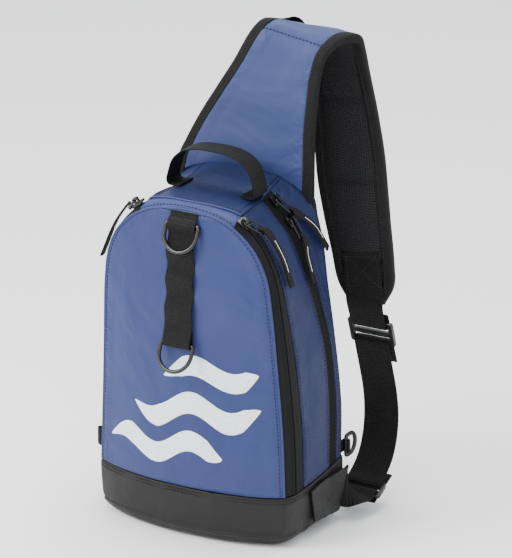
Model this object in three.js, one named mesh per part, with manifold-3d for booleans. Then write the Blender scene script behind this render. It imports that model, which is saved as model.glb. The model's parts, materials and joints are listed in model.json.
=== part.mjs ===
// A one-shoulder sling bag for fishing tackle, in millimetres.
// X is to the right seen from the front, Y to the back and Z up.
// The bag frame has z = 0 under the base and y = 0 near mid-depth; the whole bag is then moved
// so that the origin is the underside of the strap's fold, where it lies on the shoulder.
import * as THREE from "three";
import { mergeVertices } from "three/addons/utils/BufferGeometryUtils.js";
import Module from "manifold-3d";

// Driving dimensions
const GAP = 0.3; // clearance between neighbouring pieces
const SEAM = 0.4; // clearance between two cloths along a seam
const CLOTH = 2; // coated cloth wall
const BODY = { height: 343, halfWidth: 107, depth: 132 };
const BASE = { height: 52, wall: 2.6, proud: 0.9 };
const BACK_PAD = 4.5; // padded mesh on the wearer's back
const BACK_SWELL = 4;
const PANEL_TOP_STATION = 8.6; // the front and back panels end just short of the top centre
const STRAP = { top: 479, pad: 6, cloth: 1.4, binding: 1.2, bindingWidth: 10, root: 12, seat: 1.2 };
const WEBBING = { wide: 38, front: 30, handle: 25, thickness: 1.8 };
const HANDLE = { halfSpan: 0.42 * BODY.halfWidth, rise: 41, back: 13, foot: 12 };
const D_RING = { width: 39, height: 31, wire: 4 };
const SIDE_RING = { width: 25, height: 22, wire: 4.2, station: 0.16, tab: 13 };
// The small loop on the left side
const LOOP = { station: 0.2, from: 0.7, to: 1.0, reach: 13, width: 18, belly: 1.8 };
const WING_CLOTH = 3;
const UPPER_RING = { height: 315, tilt: 24 }; // height of its bar, and degrees it leans out at rest
const LOWER_RING = { height: 199, tilt: 26 };
const DAISY = { top: 302, pitch: 28, count: 3, lift: 5 }; // sewn loops of the front webbing
const OVER_RING = { top: 11, tack: 7, rise: 3.4, fall: 4, foot: 9 }; // the webbing's turns about the upper ring
const UNDER_RING = { loop: 8, end: 12 }; // and its folded end's, over the lower ring's bar
const GLIDE = { bar: 5, slot: 6.5, thickness: 4, side: 4.5, play: 0.6, place: 0.22 };
const GLIDE_WEB = { lead: 4, tuck: 9, tail: 26 }; // how far the webbing runs straight at the adjuster's bars
const BUCKLE = { bar: 5, slot: 8, thickness: 4, side: 3, out: 1.075, back: 0.72, up: 0.4, lean: 0.45 };
const BUCKLE_WEB = { lead: 7, tail: 20 };
const WING_TAB = { leave: 9, lead: 5, tuck: 6, twist: 7 }; // twist: how many rows of its path it turns over
const SLIDER = { length: 12, width: 8.5, body: 2.4, height: 8, bridge: 3, seat: 0.4 };
const SLIDER_BOW = { arch: 6.6, eye: 3.2, rim: 1.2 }; // the bridge's length, the hole under it and its thickness
const PULL = { wire: 1.6, width: 9.6, length: 20, corner: 1.6 };
const PULLER = { width: 8, neck: 4.2, thickness: 2.2, lead: 5 };
const WIRE_SIDES = 6;
const RING_CORNER = 2.4; // bend of a D-ring's wire beside its bar
const PANEL_FULLNESS = 2.4; // power of a panel's bulge: 2 is an arc, and more is fuller near the edges
const FRONT_LEAN = 0.7; // how far the front tape's outside leans forward beside the panel

// Where the walls of the bag bend: one table for each seam, a row for each station from the base seam (0)
// up over the shoulder to the top centre (9).
// Shares: up of the height above the base, out of the half width, back of the depth.
const COLUMNS = ["up", "out", "back", "swell"];
const PANEL_EDGE = table(COLUMNS, [
  [0.0, 0.949, -0.265, 0.167],
  [0.216, 0.925, -0.265, 0.18],
  [0.44, 0.888, -0.288, 0.144],
  [0.663, 0.846, -0.318, 0.091],
  [0.759, 0.804, -0.326, 0.068],
  [0.835, 0.71, -0.333, 0.053],
  [0.88, 0.598, -0.333, 0.038],
  [0.911, 0.477, -0.333, 0.023],
  [0.938, 0.28, -0.333, 0.01],
  [0.948, 0.0, -0.333, 0.0],
]);
const FRONT_TAPE_REAR = table(COLUMNS, [
  [0.003, 1.0, -0.045],
  [0.216, 0.981, -0.045],
  [0.44, 0.935, -0.076],
  [0.656, 0.883, -0.144],
  [0.753, 0.822, -0.152],
  [0.832, 0.72, -0.159],
  [0.887, 0.617, -0.167],
  [0.935, 0.467, -0.197],
  [0.957, 0.262, -0.235],
  [0.962, 0.0, -0.258],
]);
const REAR_TAPE_FRONT = table(COLUMNS, [
  [0.017, 0.991, 0.348],
  [0.216, 0.991, 0.348],
  [0.43, 0.953, 0.333],
  [0.629, 0.85, 0.28],
  [0.739, 0.776, 0.235],
  [0.828, 0.692, 0.189],
  [0.89, 0.561, 0.167],
  [0.942, 0.43, 0.152],
  [0.959, 0.243, 0.136],
  [0.964, 0.0, 0.129],
]);
const REAR_TAPE_REAR = table(COLUMNS, [
  [0.024, 0.991, 0.451],
  [0.216, 0.991, 0.447],
  [0.43, 0.944, 0.432],
  [0.629, 0.841, 0.386],
  [0.739, 0.776, 0.348],
  [0.835, 0.701, 0.303],
  [0.9, 0.57, 0.288],
  [0.955, 0.421, 0.28],
  [0.976, 0.243, 0.28],
  [0.983, 0.0, 0.28],
]);
const BACK_EDGE = table(COLUMNS, [
  [0.027, 0.972, 0.553],
  [0.216, 0.972, 0.553],
  [0.43, 0.907, 0.553],
  [0.639, 0.832, 0.545],
  [0.766, 0.794, 0.538],
  [0.856, 0.738, 0.534],
  [0.924, 0.692, 0.53],
  [0.983, 0.411, 0.53],
  [0.997, 0.196, 0.53],
  [1.0, 0.0, 0.53],
]);
const CROSS_SEAM = 7; // station of the seams that cross the top beside the handle
const TOP_CENTRE = 9;

// The base from its rim to the floor. Shares: up of its height, then its size across, in front and behind.
const BASE_LEVELS = table(
  ["up", "across", "front", "rear"],
  [
    [1.0, 1.0, 1.0, 1.0],
    [0.55, 1.0, 1.0, 0.995],
    [0.25, 0.975, 0.97, 0.94],
    [0.08, 0.92, 0.9, 0.8],
    [0.0, 0.83, 0.76, 0.62],
  ],
);

// The strap from its root on the bag's shoulder, over the fold and down to its rounded end. Shares for the left
// and the right edge: out of the half width, back of the depth and up of the height of the fold.
const STRAP_ROWS = table(
  ["leftOut", "leftBack", "leftUp", "rightOut", "rightBack", "rightUp"],
  [
    [-0.71, 0.49, 0.664, 0.71, 0.49, 0.664],
    [-0.636, 0.477, 0.72, 0.715, 0.485, 0.722],
    [-0.453, 0.492, 0.802, 0.706, 0.508, 0.802],
    [-0.299, 0.515, 0.86, 0.71, 0.538, 0.856],
    [-0.15, 0.553, 0.917, 0.71, 0.583, 0.908],
    [0, 0.606, 0.983, 0.738, 0.644, 0.95],
    [0.056, 0.667, 0.998, 0.822, 0.75, 0.975],
    [0.15, 0.773, 0.99, 0.907, 0.886, 0.973],
    [0.224, 0.856, 0.985, 0.916, 0.939, 0.944],
    [0.299, 0.894, 0.946, 0.944, 0.97, 0.898],
    [0.393, 0.886, 0.866, 1.019, 0.97, 0.831],
    [0.467, 0.856, 0.766, 1.121, 0.939, 0.741],
    [0.519, 0.833, 0.678, 1.178, 0.909, 0.67],
    [0.589, 0.818, 0.612, 1.224, 0.886, 0.603],
    [0.673, 0.826, 0.532, 1.262, 0.886, 0.524],
    [0.738, 0.833, 0.468, 1.262, 0.894, 0.468],
    [0.841, 0.845, 0.428, 1.178, 0.886, 0.428],
  ],
);

// The webbing that hangs from the strap's end. Shares: out of the half width, back of the depth and up of the
// height of the strap's fold.
const TAIL_ROWS = table(
  ["out", "back", "up"],
  [
    [1.009, 0.855, 0.4175],
    [1.019, 0.909, 0.3738],
    [1.028, 0.962, 0.3258],
    [1.056, 1.02, 0.2084],
    [1.084, 0.97, 0.1318],
    [1.084, 0.86, 0.0809],
    [1.075, 0.72, 0.0544],
  ],
);

// The cloth wings at the lower corners, from the base's side to the webbing. Shares for the lower and the top
// edge: out of the half width, back of the depth and up of the base's height.
const WING_ROWS = table(
  ["lowOut", "lowBack", "lowUp", "topOut", "topBack", "topUp"],
  [
    [1.033, 0.05, 0.28, 1.033, 0.0, 0.95],
    [1.035, 0.25, 0.24, 1.035, 0.27, 1.0],
    [1.045, 0.4, 0.22, 1.065, 0.52, 1.02],
  ],
);

// Zippers' sliders: rows of station, place across the walls and lift, for the slider, its pull's end and the
// puller's middle and end.
const ZIPS = [
  { name: "front_right", side: 1, rows: [[6.7, 0.55, 0], [5.6, 1.05, 8], [4.6, 1.12, 6], [3.5, 1.15, 5]] },
  { name: "front_left", side: -1, rows: [[6.7, 0.55, 0], [5.6, 1.0, 9], [4.6, 1.05, 13], [3.3, 1.05, 17]] },
  { name: "rear_upper", side: 1, rows: [[6.6, 2.5, 0], [5.7, 2.95, 6], [4.9, 3.4, 6], [3.9, 3.85, 5]] },
  { name: "rear_lower", side: 1, rows: [[5.5, 2.5, 0], [4.8, 2.35, 6], [4.2, 2.2, 6], [3.3, 2.05, 5]] },
];

// Helpers
function table(columns, rows) {
  return rows.map((row) => Object.fromEntries(columns.map((name, i) => [name, row[i] ?? 0])));
}

const vec = (x, y, z) => new THREE.Vector3(x, y, z);
const mix = (a, b, t) => a.clone().lerp(b, t);
const clamped = (value) => Math.min(1, Math.max(0, value));
function steps(from, to, count) {
  return Array.from({ length: count + 1 }, (_, i) => from + ((to - from) * i) / count);
}
const BACKWARDS = vec(0, 1, 0);
const ACROSS = vec(1, 0, 0);

function signedVolume(points, faces) {
  return faces.reduce((sum, [a, b, c]) => sum + points[a].dot(points[b].clone().cross(points[c])) / 6, 0);
}

// A closed body from points and triangles, turned so that its faces point out.
function bodyOf(points, faces) {
  const out = signedVolume(points, faces) < 0 ? faces.map(([a, b, c]) => [a, c, b]) : faces;
  const geometry = new THREE.BufferGeometry();
  geometry.setAttribute("position", new THREE.Float32BufferAttribute(points.flatMap((p) => p.toArray()), 3));
  geometry.setIndex(out.flat());
  geometry.computeVertexNormals();
  return geometry;
}

// A wall: two grids of points of the same size are its faces, and the four edges close it.
function wall(outer, inner) {
  const rows = outer.length;
  const columns = outer[0].length;
  const points = [...outer.flat(), ...inner.flat()];
  const at = (side, i, j) => (side * rows + i) * columns + j;
  const faces = [];
  const quad = (a, b, c, d) => faces.push([a, b, c], [a, c, d]);
  for (let i = 0; i < rows - 1; i++) {
    for (let j = 0; j < columns - 1; j++) {
      quad(at(0, i, j), at(0, i + 1, j), at(0, i + 1, j + 1), at(0, i, j + 1));
      quad(at(1, i, j), at(1, i, j + 1), at(1, i + 1, j + 1), at(1, i + 1, j));
    }
    quad(at(0, i, 0), at(1, i, 0), at(1, i + 1, 0), at(0, i + 1, 0));
    quad(at(0, i, columns - 1), at(0, i + 1, columns - 1), at(1, i + 1, columns - 1), at(1, i, columns - 1));
  }
  for (let j = 0; j < columns - 1; j++) {
    quad(at(0, 0, j), at(0, 0, j + 1), at(1, 0, j + 1), at(1, 0, j));
    quad(at(0, rows - 1, j), at(1, rows - 1, j), at(1, rows - 1, j + 1), at(0, rows - 1, j + 1));
  }
  return bodyOf(points, faces);
}

// Draws the four edges of a grid in by a distance.
function drawnIn(grid, distance) {
  const shift = (p, towards) => p.clone().addScaledVector(towards.clone().sub(p).normalize(), distance);
  const ends = grid.map((row) => {
    const last = row.length - 1;
    return row.map((p, j) => (j === 0 ? shift(p, row[1]) : j === last ? shift(p, row[last - 1]) : p));
  });
  const last = ends.length - 1;
  return ends.map((row, i) =>
    row.map((p, j) => (i === 0 ? shift(p, ends[1][j]) : i === last ? shift(p, ends[last - 1][j]) : p)),
  );
}

// A loop of wire: a flat closed outline swept with a round section.
function wireLoop(outline, wire) {
  const points = [];
  const faces = [];
  const count = outline.length;
  const normal = vec(0, 0, 0);
  outline.forEach((p, i) => normal.add(p.clone().cross(outline[(i + 1) % count])));
  normal.normalize();
  outline.forEach((p, i) => {
    const along = outline[(i + 1) % count].clone().sub(outline[(i + count - 1) % count]).normalize();
    const side = along.clone().cross(normal);
    for (let k = 0; k < WIRE_SIDES; k++) {
      const a = (2 * Math.PI * k) / WIRE_SIDES;
      const out = side.clone().multiplyScalar(Math.cos(a)).addScaledVector(normal, Math.sin(a));
      points.push(p.clone().addScaledVector(out, wire / 2));
    }
  });
  for (let i = 0; i < count; i++)
    for (let k = 0; k < WIRE_SIDES; k++) {
      const [a, b] = [i * WIRE_SIDES + k, i * WIRE_SIDES + ((k + 1) % WIRE_SIDES)];
      const [c, d] = [a, b].map((n) => (n + WIRE_SIDES) % points.length);
      faces.push([a, b, d], [a, d, c]);
    }
  return bodyOf(points, faces);
}

// A ribbon of webbing along a path of points. Its width and the direction across it may change on the way.
function ribbon(path, width, thickness, across) {
  const outer = [];
  const inner = [];
  path.forEach((p, i) => {
    const along = path[Math.min(i + 1, path.length - 1)].clone().sub(path[Math.max(i - 1, 0)]).normalize();
    const wide = (Array.isArray(across) ? across[i] : across).clone();
    wide.addScaledVector(along, -wide.dot(along)).normalize();
    const normal = wide.clone().cross(along).normalize();
    const half = (Array.isArray(width) ? width[i] : width) / 2;
    const row = (lift) => {
      const middle = p.clone().addScaledVector(normal, lift);
      return [-half, half].map((offset) => middle.clone().addScaledVector(wide, offset));
    };
    outer.push(row(thickness / 2));
    inner.push(row(-thickness / 2));
  });
  return wall(outer, inner);
}

// Turns a path round a bar: points on an arc from one angle to another, in the plane of two directions.
function wrap(centre, radius, first, second, from, to, count = 6) {
  return steps(from, to, count).map((degrees) => {
    const a = THREE.MathUtils.degToRad(degrees);
    const out = first.clone().multiplyScalar(Math.cos(a)).addScaledVector(second, Math.sin(a));
    return centre.clone().addScaledVector(out, radius);
  });
}

const curve = (points) => new THREE.CatmullRomCurve3(points, false, "centripetal");

// Places a geometry modelled along its own X, Y and Z.
function placed(geometry, origin, x, y, z) {
  return geometry.applyMatrix4(new THREE.Matrix4().makeBasis(x, y, z).setPosition(origin));
}

const root = new THREE.Group();
const bag = new THREE.Group();
root.add(bag);

function add(name, geometry, colour, roughness = 0.7, metalness = 0) {
  const material = new THREE.MeshStandardMaterial({ color: colour, roughness, metalness });
  const mesh = new THREE.Mesh(geometry, material);
  mesh.name = name;
  bag.add(mesh);
  return mesh;
}

const NAVY = 0x46568f;
const NAVY_DARK = 0x2f4a7c;
const NAVY_STRAP = 0x525f98;
const BLACK_CLOTH = 0x2a2a26;
const BLACK_LEATHER = 0x34322f;
const BLACK_MESH = 0x1d1d1f;
const BLACK_PLASTIC = 0x161616;
const DARK_NICKEL = 0x8a8a86;

// The bag's walls: each seam is a curve from the right base seam over the top to the left base seam
const rise = BODY.height - BASE.height;
const LAST_STATION = 2 * TOP_CENTRE;

function seamCurve(rows) {
  const right = rows.map((r) => vec(r.out * BODY.halfWidth, r.back * BODY.depth, BASE.height + r.up * rise));
  const left = right.slice(0, -1).reverse().map((p) => vec(-p.x, p.y, p.z));
  return curve([...right, ...left]);
}

const SEAMS = [PANEL_EDGE, FRONT_TAPE_REAR, REAR_TAPE_FRONT, REAR_TAPE_REAR, BACK_EDGE].map(seamCurve);
const PANEL = 0;
const BACK = SEAMS.length - 1;
const SWELLS = [2.5, 1.2, 0.6, 0.6]; // how far each band swells out between its two seams

// Where each band is sectioned on its way from seam to seam
const FRONT_TAPE_COLUMNS = [0, 0.33, 0.66, 1];
const GUSSET_COLUMNS = [1, 1.33, 1.66, 2];
const REAR_TAPE_COLUMNS = [2, 3];
const REAR_STRIP_COLUMNS = [3, 3.5, 4];
const POCKET_TOP_COLUMNS = [0, 0.5, 1];

// Direction into the bag, square to a seam and flat in X and Z.
function inwards(seam, station) {
  const t = SEAMS[seam].getTangent(station / LAST_STATION);
  return vec(-t.z, 0, t.x).normalize();
}

// A point of the outer surface: station along the seams, across from seam 0 (front) to seam 4 (back).
function surfacePoint(station, across, lift = 0) {
  const seam = Math.min(Math.floor(across), SWELLS.length - 1);
  const t = across - seam;
  const u = station / LAST_STATION;
  const p = mix(SEAMS[seam].getPoint(u), SEAMS[seam + 1].getPoint(u), t);
  const out = mix(inwards(seam, station), inwards(seam + 1, station), t).negate();
  if (seam === PANEL) out.addScaledVector(BACKWARDS, -(1 - t) * FRONT_LEAN);
  return p.addScaledVector(out.normalize(), SWELLS[seam] * 4 * t * (1 - t) + lift);
}

// The same place on the inner surface. At the front and back seams the wall is mitred with its panel.
function innerPoint(station, across) {
  const seam = Math.round(across);
  const p = surfacePoint(station, across);
  const near = Math.min(Math.floor(across), SWELLS.length - 1);
  const depth = mix(inwards(near, station), inwards(near + 1, station), across - near).normalize();
  p.addScaledVector(depth, CLOTH);
  if (across === seam && seam === PANEL) p.addScaledVector(BACKWARDS, CLOTH);
  if (across === seam && seam === BACK) p.addScaledVector(BACKWARDS, -BACK_PAD);
  return p;
}

// Stations where walls are sectioned, the same for all, so that neighbours follow the same facets.
const SIDE_STATIONS = steps(0, CROSS_SEAM, 14);
const TOP_STATIONS = [CROSS_SEAM, 7.5, 8, PANEL_TOP_STATION];
const mirrored = (stations) => stations.map((k) => LAST_STATION - k).reverse();

function band(rows, acrosses) {
  const outer = rows.map((k) => acrosses.map((a) => surfacePoint(k, a)));
  const inner = rows.map((k) => acrosses.map((a) => innerPoint(k, a)));
  return wall(drawnIn(outer, SEAM / 2), drawnIn(inner, SEAM / 2));
}

// A panel that closes the front or the back: rows from the base seam up, each from the left edge to the right.
const PANEL_COLUMNS = 8;

function swellAt(station) {
  const i = Math.min(Math.floor(station), TOP_CENTRE - 1);
  const t = station - i;
  return BODY.depth * THREE.MathUtils.lerp(PANEL_EDGE[i].swell, PANEL_EDGE[i + 1].swell, t);
}

function panelPoint(seam, station, share, depthOf) {
  const right = SEAMS[seam].getPoint(station / LAST_STATION);
  const p = vec(right.x * share, right.y, right.z);
  p.y += depthOf(station) * (1 - Math.abs(share) ** PANEL_FULLNESS);
  return p;
}

function panel(seam, depthOf, thickness) {
  const rows = [...SIDE_STATIONS, ...TOP_STATIONS.slice(1)];
  const shares = steps(-1, 1, PANEL_COLUMNS);
  const inside = Math.sign(-depthOf(0)) * thickness;
  const outer = rows.map((k) => shares.map((s) => panelPoint(seam, k, s, depthOf)));
  const inner = outer.map((row, i) =>
    row.map((p, j) => {
      const q = p.clone().addScaledVector(BACKWARDS, inside);
      const edge = j === 0 || j === PANEL_COLUMNS;
      const depth = inwards(seam, rows[i]).multiplyScalar(CLOTH);
      if (edge) q.add(vec(depth.x * Math.sign(shares[j]), 0, depth.z));
      else q.z += depth.z * clamped(rows[i] - CROSS_SEAM + 1);
      return q;
    }),
  );
  return wall(drawnIn(outer, SEAM / 2), drawnIn(inner, SEAM / 2));
}

const frontDepth = (station) => -swellAt(station);
const backDepth = (station) => (BACK_SWELL * (swellAt(station) + 1)) / (swellAt(0) + 1);

// Height above the base seam to station along the panel edge, and the front panel's centre line at a height.
function stationAt(height) {
  let [low, high] = [0, TOP_CENTRE];
  for (let i = 0; i < 30; i++) {
    const middle = (low + high) / 2;
    if (SEAMS[PANEL].getPoint(middle / LAST_STATION).z < height) low = middle;
    else high = middle;
  }
  return low;
}

const frontAt = (height, lift) => {
  const p = panelPoint(PANEL, stationAt(height), 0, frontDepth);
  return vec(0, p.y - lift, height);
};

add("front_panel", panel(PANEL, frontDepth, CLOTH), NAVY, 0.45);
add("back_panel", panel(BACK, backDepth, BACK_PAD), BLACK_MESH, 0.95);

for (const [side, stations] of Object.entries({ right: SIDE_STATIONS, left: mirrored(SIDE_STATIONS) })) {
  add("front_zipper_tape_" + side, band(stations, FRONT_TAPE_COLUMNS), BLACK_CLOTH, 0.9);
  add("side_gusset_" + side, band(stations, GUSSET_COLUMNS), NAVY_DARK, 0.5);
  add("rear_zipper_tape_" + side, band(stations, REAR_TAPE_COLUMNS), BLACK_CLOTH, 0.9);
  add("rear_strip_" + side, band(stations, REAR_STRIP_COLUMNS), NAVY_DARK, 0.5);
}
const overTop = [...TOP_STATIONS, ...mirrored(TOP_STATIONS)];
add("pocket_top", band(overTop, POCKET_TOP_COLUMNS), NAVY, 0.45);
add("top_gusset", band(overTop, [...GUSSET_COLUMNS, 2.5, ...REAR_STRIP_COLUMNS]), NAVY_DARK, 0.5);

// The base: a boot whose rim follows the bag's outline at the base seam
function bodyOutline() {
  const shares = steps(-1, 1, PANEL_COLUMNS);
  const bands = [FRONT_TAPE_COLUMNS, GUSSET_COLUMNS, REAR_TAPE_COLUMNS, REAR_STRIP_COLUMNS];
  const side = bands.flatMap((columns) => columns.slice(1)).slice(0, -1);
  const front = shares.map((s) => panelPoint(PANEL, 0, s, frontDepth));
  const right = side.map((a) => surfacePoint(0, a));
  const back = shares.map((s) => panelPoint(BACK, 0, -s, backDepth));
  const left = side.toReversed().map((a) => surfacePoint(LAST_STATION, a));
  return [...front, ...right, ...back, ...left];
}

function baseRing(outline, level, offset, floor) {
  return outline.map((p, i) => {
    const before = outline[(i + outline.length - 1) % outline.length];
    const after = outline[(i + 1) % outline.length];
    const out = vec(after.y - before.y, before.x - after.x, 0).normalize();
    const q = vec(p.x + out.x * offset, p.y + out.y * offset, 0);
    const depth = q.y < 0 ? level.front : level.rear;
    return vec(q.x * level.across, q.y * depth, Math.max(floor, (p.z - SEAM / 2) * level.up));
  });
}

function base() {
  const outline = bodyOutline();
  const shell = (offset, floor) => BASE_LEVELS.map((level) => baseRing(outline, level, offset, floor));
  const rings = [...shell(BASE.proud, 0).reverse(), ...shell(BASE.proud - BASE.wall, BASE.wall)];
  const count = outline.length;
  const points = rings.flat();
  const faces = [];
  for (let r = 0; r < rings.length - 1; r++)
    for (let i = 0; i < count; i++) {
      const [a, b] = [r * count + i, r * count + ((i + 1) % count)];
      faces.push([a, b, b + count], [a, b + count, a + count]);
    }
  for (const [ring, z, turned] of [
    [0, 0, true],
    [rings.length - 1, BASE.wall, false],
  ]) {
    const centre = points.push(vec(0, 0, z)) - 1;
    for (let i = 0; i < count; i++) {
      const [a, b] = [ring * count + i, ring * count + ((i + 1) % count)];
      faces.push(turned ? [b, a, centre] : [a, b, centre]);
    }
  }
  return bodyOf(points, faces);
}
add("base", base(), BLACK_LEATHER, 0.6);

// The shoulder strap: a padded band with cloth on its outer face and binding round its edge
const rowPoint = (row, side) =>
  vec(
    row[side + "Out"] * BODY.halfWidth,
    row[side + "Back"] * BODY.depth,
    row[side + "Up"] * STRAP.top,
  );
const strapLeft = curve(STRAP_ROWS.map((row) => rowPoint(row, "left")));
const strapRight = curve(STRAP_ROWS.map((row) => rowPoint(row, "right")));
const strapCentre = (u) => mix(strapLeft.getPoint(u), strapRight.getPoint(u), 0.5);
const STRAP_LENGTH = steps(0, 1, 60).reduce((sum, u, i, all) => {
  return i ? sum + strapCentre(u).distanceTo(strapCentre(all[i - 1])) : 0;
}, 0);
const LAST_STRETCH = strapCentre((STRAP_ROWS.length - 2) / (STRAP_ROWS.length - 1)).distanceTo(strapCentre(1));

function strapFrame(u) {
  const [a, b] = [strapLeft.getPoint(u), strapRight.getPoint(u)];
  const e = 1e-3;
  const along = strapCentre(Math.min(u + e, 1)).sub(strapCentre(Math.max(u - e, 0))).normalize();
  const wide = b.clone().sub(a);
  const half = wide.length() / 2;
  wide.normalize();
  const normal = wide.clone().cross(along).normalize();
  return { centre: mix(a, b, 0.5), wide, along, normal, half };
}

// How high the bag's shoulder is at x, where the strap's root is sewn on.
function shoulderHeight(x) {
  let [low, high] = [0, TOP_CENTRE];
  for (let i = 0; i < 30; i++) {
    const middle = (low + high) / 2;
    if (SEAMS[BACK].getPoint(middle / LAST_STATION).x > Math.abs(x)) low = middle;
    else high = middle;
  }
  return SEAMS[BACK].getPoint(low / LAST_STATION).z;
}

// The strap's lowest rows are drawn up to follow the shoulder that they are sewn on.
const ROOT_END = 0.25; // share of the strap's length, past which nothing is drawn up
function seated(p, u) {
  const clear = BODY.height + STRAP.root;
  const lowest = STRAP_ROWS[0].leftUp * STRAP.top;
  if (u > ROOT_END || p.z >= clear) return p;
  const seat = shoulderHeight(p.x) + STRAP.seat;
  p.z = THREE.MathUtils.lerp(seat, clear, (p.z - lowest) / (clear - lowest));
  return p;
}

function strapPoint(u, across, lift) {
  const f = strapFrame(u);
  const offset = f.wide.multiplyScalar(across * f.half).addScaledVector(f.normal, lift);
  return seated(f.centre.add(offset), u);
}

// Closer to each other at the fold and at the rounded end
const STRAP_STATIONS = [...steps(0, 0.3, 7), ...steps(0.33, 0.51, 6), ...steps(0.55, 0.96, 11), 0.975, 0.99, 1];
const STRAP_COLUMNS = 8;

// A layer of the strap, drawn in from its outline by an inset that is measured square to the outline.
function strapLayer(inset, low, high) {
  const end = 1 - (inset + GAP) / LAST_STRETCH / (STRAP_ROWS.length - 1);
  const rows = [...STRAP_STATIONS.filter((u) => u < end - 0.005), end];
  const edgeShare = (edge, u) => {
    const { wide, half } = strapFrame(u);
    return 1 - inset / Math.sqrt(1 - edge.getTangent(u).dot(wide) ** 2) / half;
  };
  const layer = (lift) =>
    rows.map((u) => {
      const shares = steps(-edgeShare(strapLeft, u), edgeShare(strapRight, u), STRAP_COLUMNS);
      return shares.map((s) => strapPoint(u, s, lift));
    });
  return wall(layer(high), layer(low));
}

// The binding is a folded band: its web runs round the strap's edge and its two flaps lie on the faces.
// No row stands nearer to the end than the flaps are wide, so that they meet in a mitre at the corners.
function strapBinding() {
  const mouth = STRAP.bindingWidth;
  const toEnd = (u) => (1 - u) * (STRAP_ROWS.length - 1) * LAST_STRETCH;
  const down = STRAP_STATIONS.filter((u) => u === 1 || toEnd(u) > mouth);
  const path = [
    ...down.map((u) => ({ u, across: -1 })),
    { u: 1, across: 0 },
    ...down.toReversed().map((u) => ({ u, across: 1 })),
  ];
  const half = STRAP.pad / 2 + 2.5 * GAP;
  const high = half + STRAP.binding;
  const web = -STRAP.binding;
  const fold = 1; // how far the folded edge is rounded
  const lower = (flap) => flap.toReversed().map(([reach, lift]) => [reach, -lift]);
  const outerFlap = [[-mouth, high], [-fold, high], [0, half - fold]];
  const innerFlap = [[-mouth, half], [web, half], [web, half - fold]];
  const outside = [...outerFlap, ...lower(outerFlap)];
  const inside = [...innerFlap, ...lower(innerFlap)];
  const [outer, inner] = [[], []];
  path.forEach(({ u, across }) => {
    const { centre, wide, along, normal, half: halfWidth } = strapFrame(u);
    const edge = centre.addScaledVector(wide, across * halfWidth);
    const slant = (across < 0 ? strapLeft : strapRight).getTangent(u).dot(wide);
    const square = Math.sqrt(1 - slant ** 2);
    const out = wide.clone().multiplyScalar(across / square);
    if (u === 1) out.copy(along).addScaledVector(wide, (across * (1 + across * slant)) / square);
    const at = ([reach, lift]) => {
      return seated(edge.clone().addScaledVector(out, reach).addScaledVector(normal, lift), u);
    };
    outer.push(outside.map(at));
    inner.push(inside.map(at));
  });
  return wall(outer, inner);
}

const PAD_HALF = STRAP.pad / 2;
add("strap_pad", strapLayer(STRAP.binding + 3 * GAP, -PAD_HALF, PAD_HALF), BLACK_MESH, 0.95);
add(
  "strap_panel",
  strapLayer(STRAP.bindingWidth + SEAM + GAP, PAD_HALF + GAP, PAD_HALF + GAP + STRAP.cloth),
  NAVY_STRAP,
  0.5,
);
add("strap_binding", strapBinding(), BLACK_CLOTH, 0.9);

// The handle: webbing sewn flat on the top at both ends, with a broad arch between. Shares: out of its half
// span and up of its rise, from the sewn foot to beside the middle.
const HANDLE_ROWS = table(
  ["out", "up"],
  [
    [1 - HANDLE.foot / HANDLE.halfSpan, 0.045],
    [1 - HANDLE.foot / HANDLE.halfSpan / 2, 0.02],
    [1.022, 0.03],
    [1.067, 0.12],
    [1.022, 0.35],
    [0.92, 0.65],
    [0.68, 0.88],
    [0.36, 0.98],
  ],
);
function handle() {
  const seat = surfacePoint(CROSS_SEAM + 0.4, 1.8, 0).z + 3 * GAP + WEBBING.thickness / 2;
  const place = ({ out, up }) => vec(out * HANDLE.halfSpan, HANDLE.back, seat + up * HANDLE.rise);
  const right = HANDLE_ROWS.map(place);
  const left = right.toReversed().map((p) => vec(-p.x, p.y, p.z));
  const path = curve([...right, vec(0, HANDLE.back, seat + HANDLE.rise), ...left]).getPoints(30);
  return ribbon(path, WEBBING.handle, WEBBING.thickness, BACKWARDS);
}
add("handle", handle(), BLACK_CLOTH, 0.9);

// The front webbing: sewn down at the tacks, loose loops between them, folded round the lower ring's bar
const halfWeb = WEBBING.thickness / 2;
const sewn = GAP + halfWeb;
const ringSeat = GAP + D_RING.wire / 2; // lift of the upper ring's bar off the panel
const wrapRadius = D_RING.wire / 2 + GAP + halfWeb;
const lowerRingLift = 2 * GAP + halfWeb + wrapRadius;

function frontWebbing() {
  const over = ringSeat + wrapRadius;
  const rows = [
    [UPPER_RING.height + OVER_RING.top, sewn],
    [UPPER_RING.height + OVER_RING.tack, sewn],
    [UPPER_RING.height + OVER_RING.rise, over - 1],
    [UPPER_RING.height, over + 0.4],
    [UPPER_RING.height - OVER_RING.fall, over - 1],
    [UPPER_RING.height - OVER_RING.foot, sewn],
  ];
  for (let i = 0; i < DAISY.count; i++) {
    const top = DAISY.top - i * DAISY.pitch;
    rows.push([top, sewn], [top - DAISY.pitch / 2 + 1, DAISY.lift]);
  }
  const bottom = DAISY.top - DAISY.count * DAISY.pitch;
  rows.push([bottom + 1, sewn + 2 * halfWeb + GAP]);
  rows.push([LOWER_RING.height + UNDER_RING.loop, lowerRingLift + wrapRadius - 2]);
  const down = curve(rows.map(([height, lift]) => frontAt(height, lift))).getPoints(50);
  const bar = frontAt(LOWER_RING.height, lowerRingLift);
  const round = wrap(bar, wrapRadius, vec(0, -1, 0), vec(0, 0, -1), 0, 180);
  const back = [
    frontAt(LOWER_RING.height + UNDER_RING.loop, sewn + GAP),
    frontAt(LOWER_RING.height + UNDER_RING.end, sewn),
  ];
  return ribbon([...down, ...round, ...back], WEBBING.front, WEBBING.thickness, ACROSS);
}
add("front_webbing", frontWebbing(), BLACK_CLOTH, 0.9);

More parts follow.
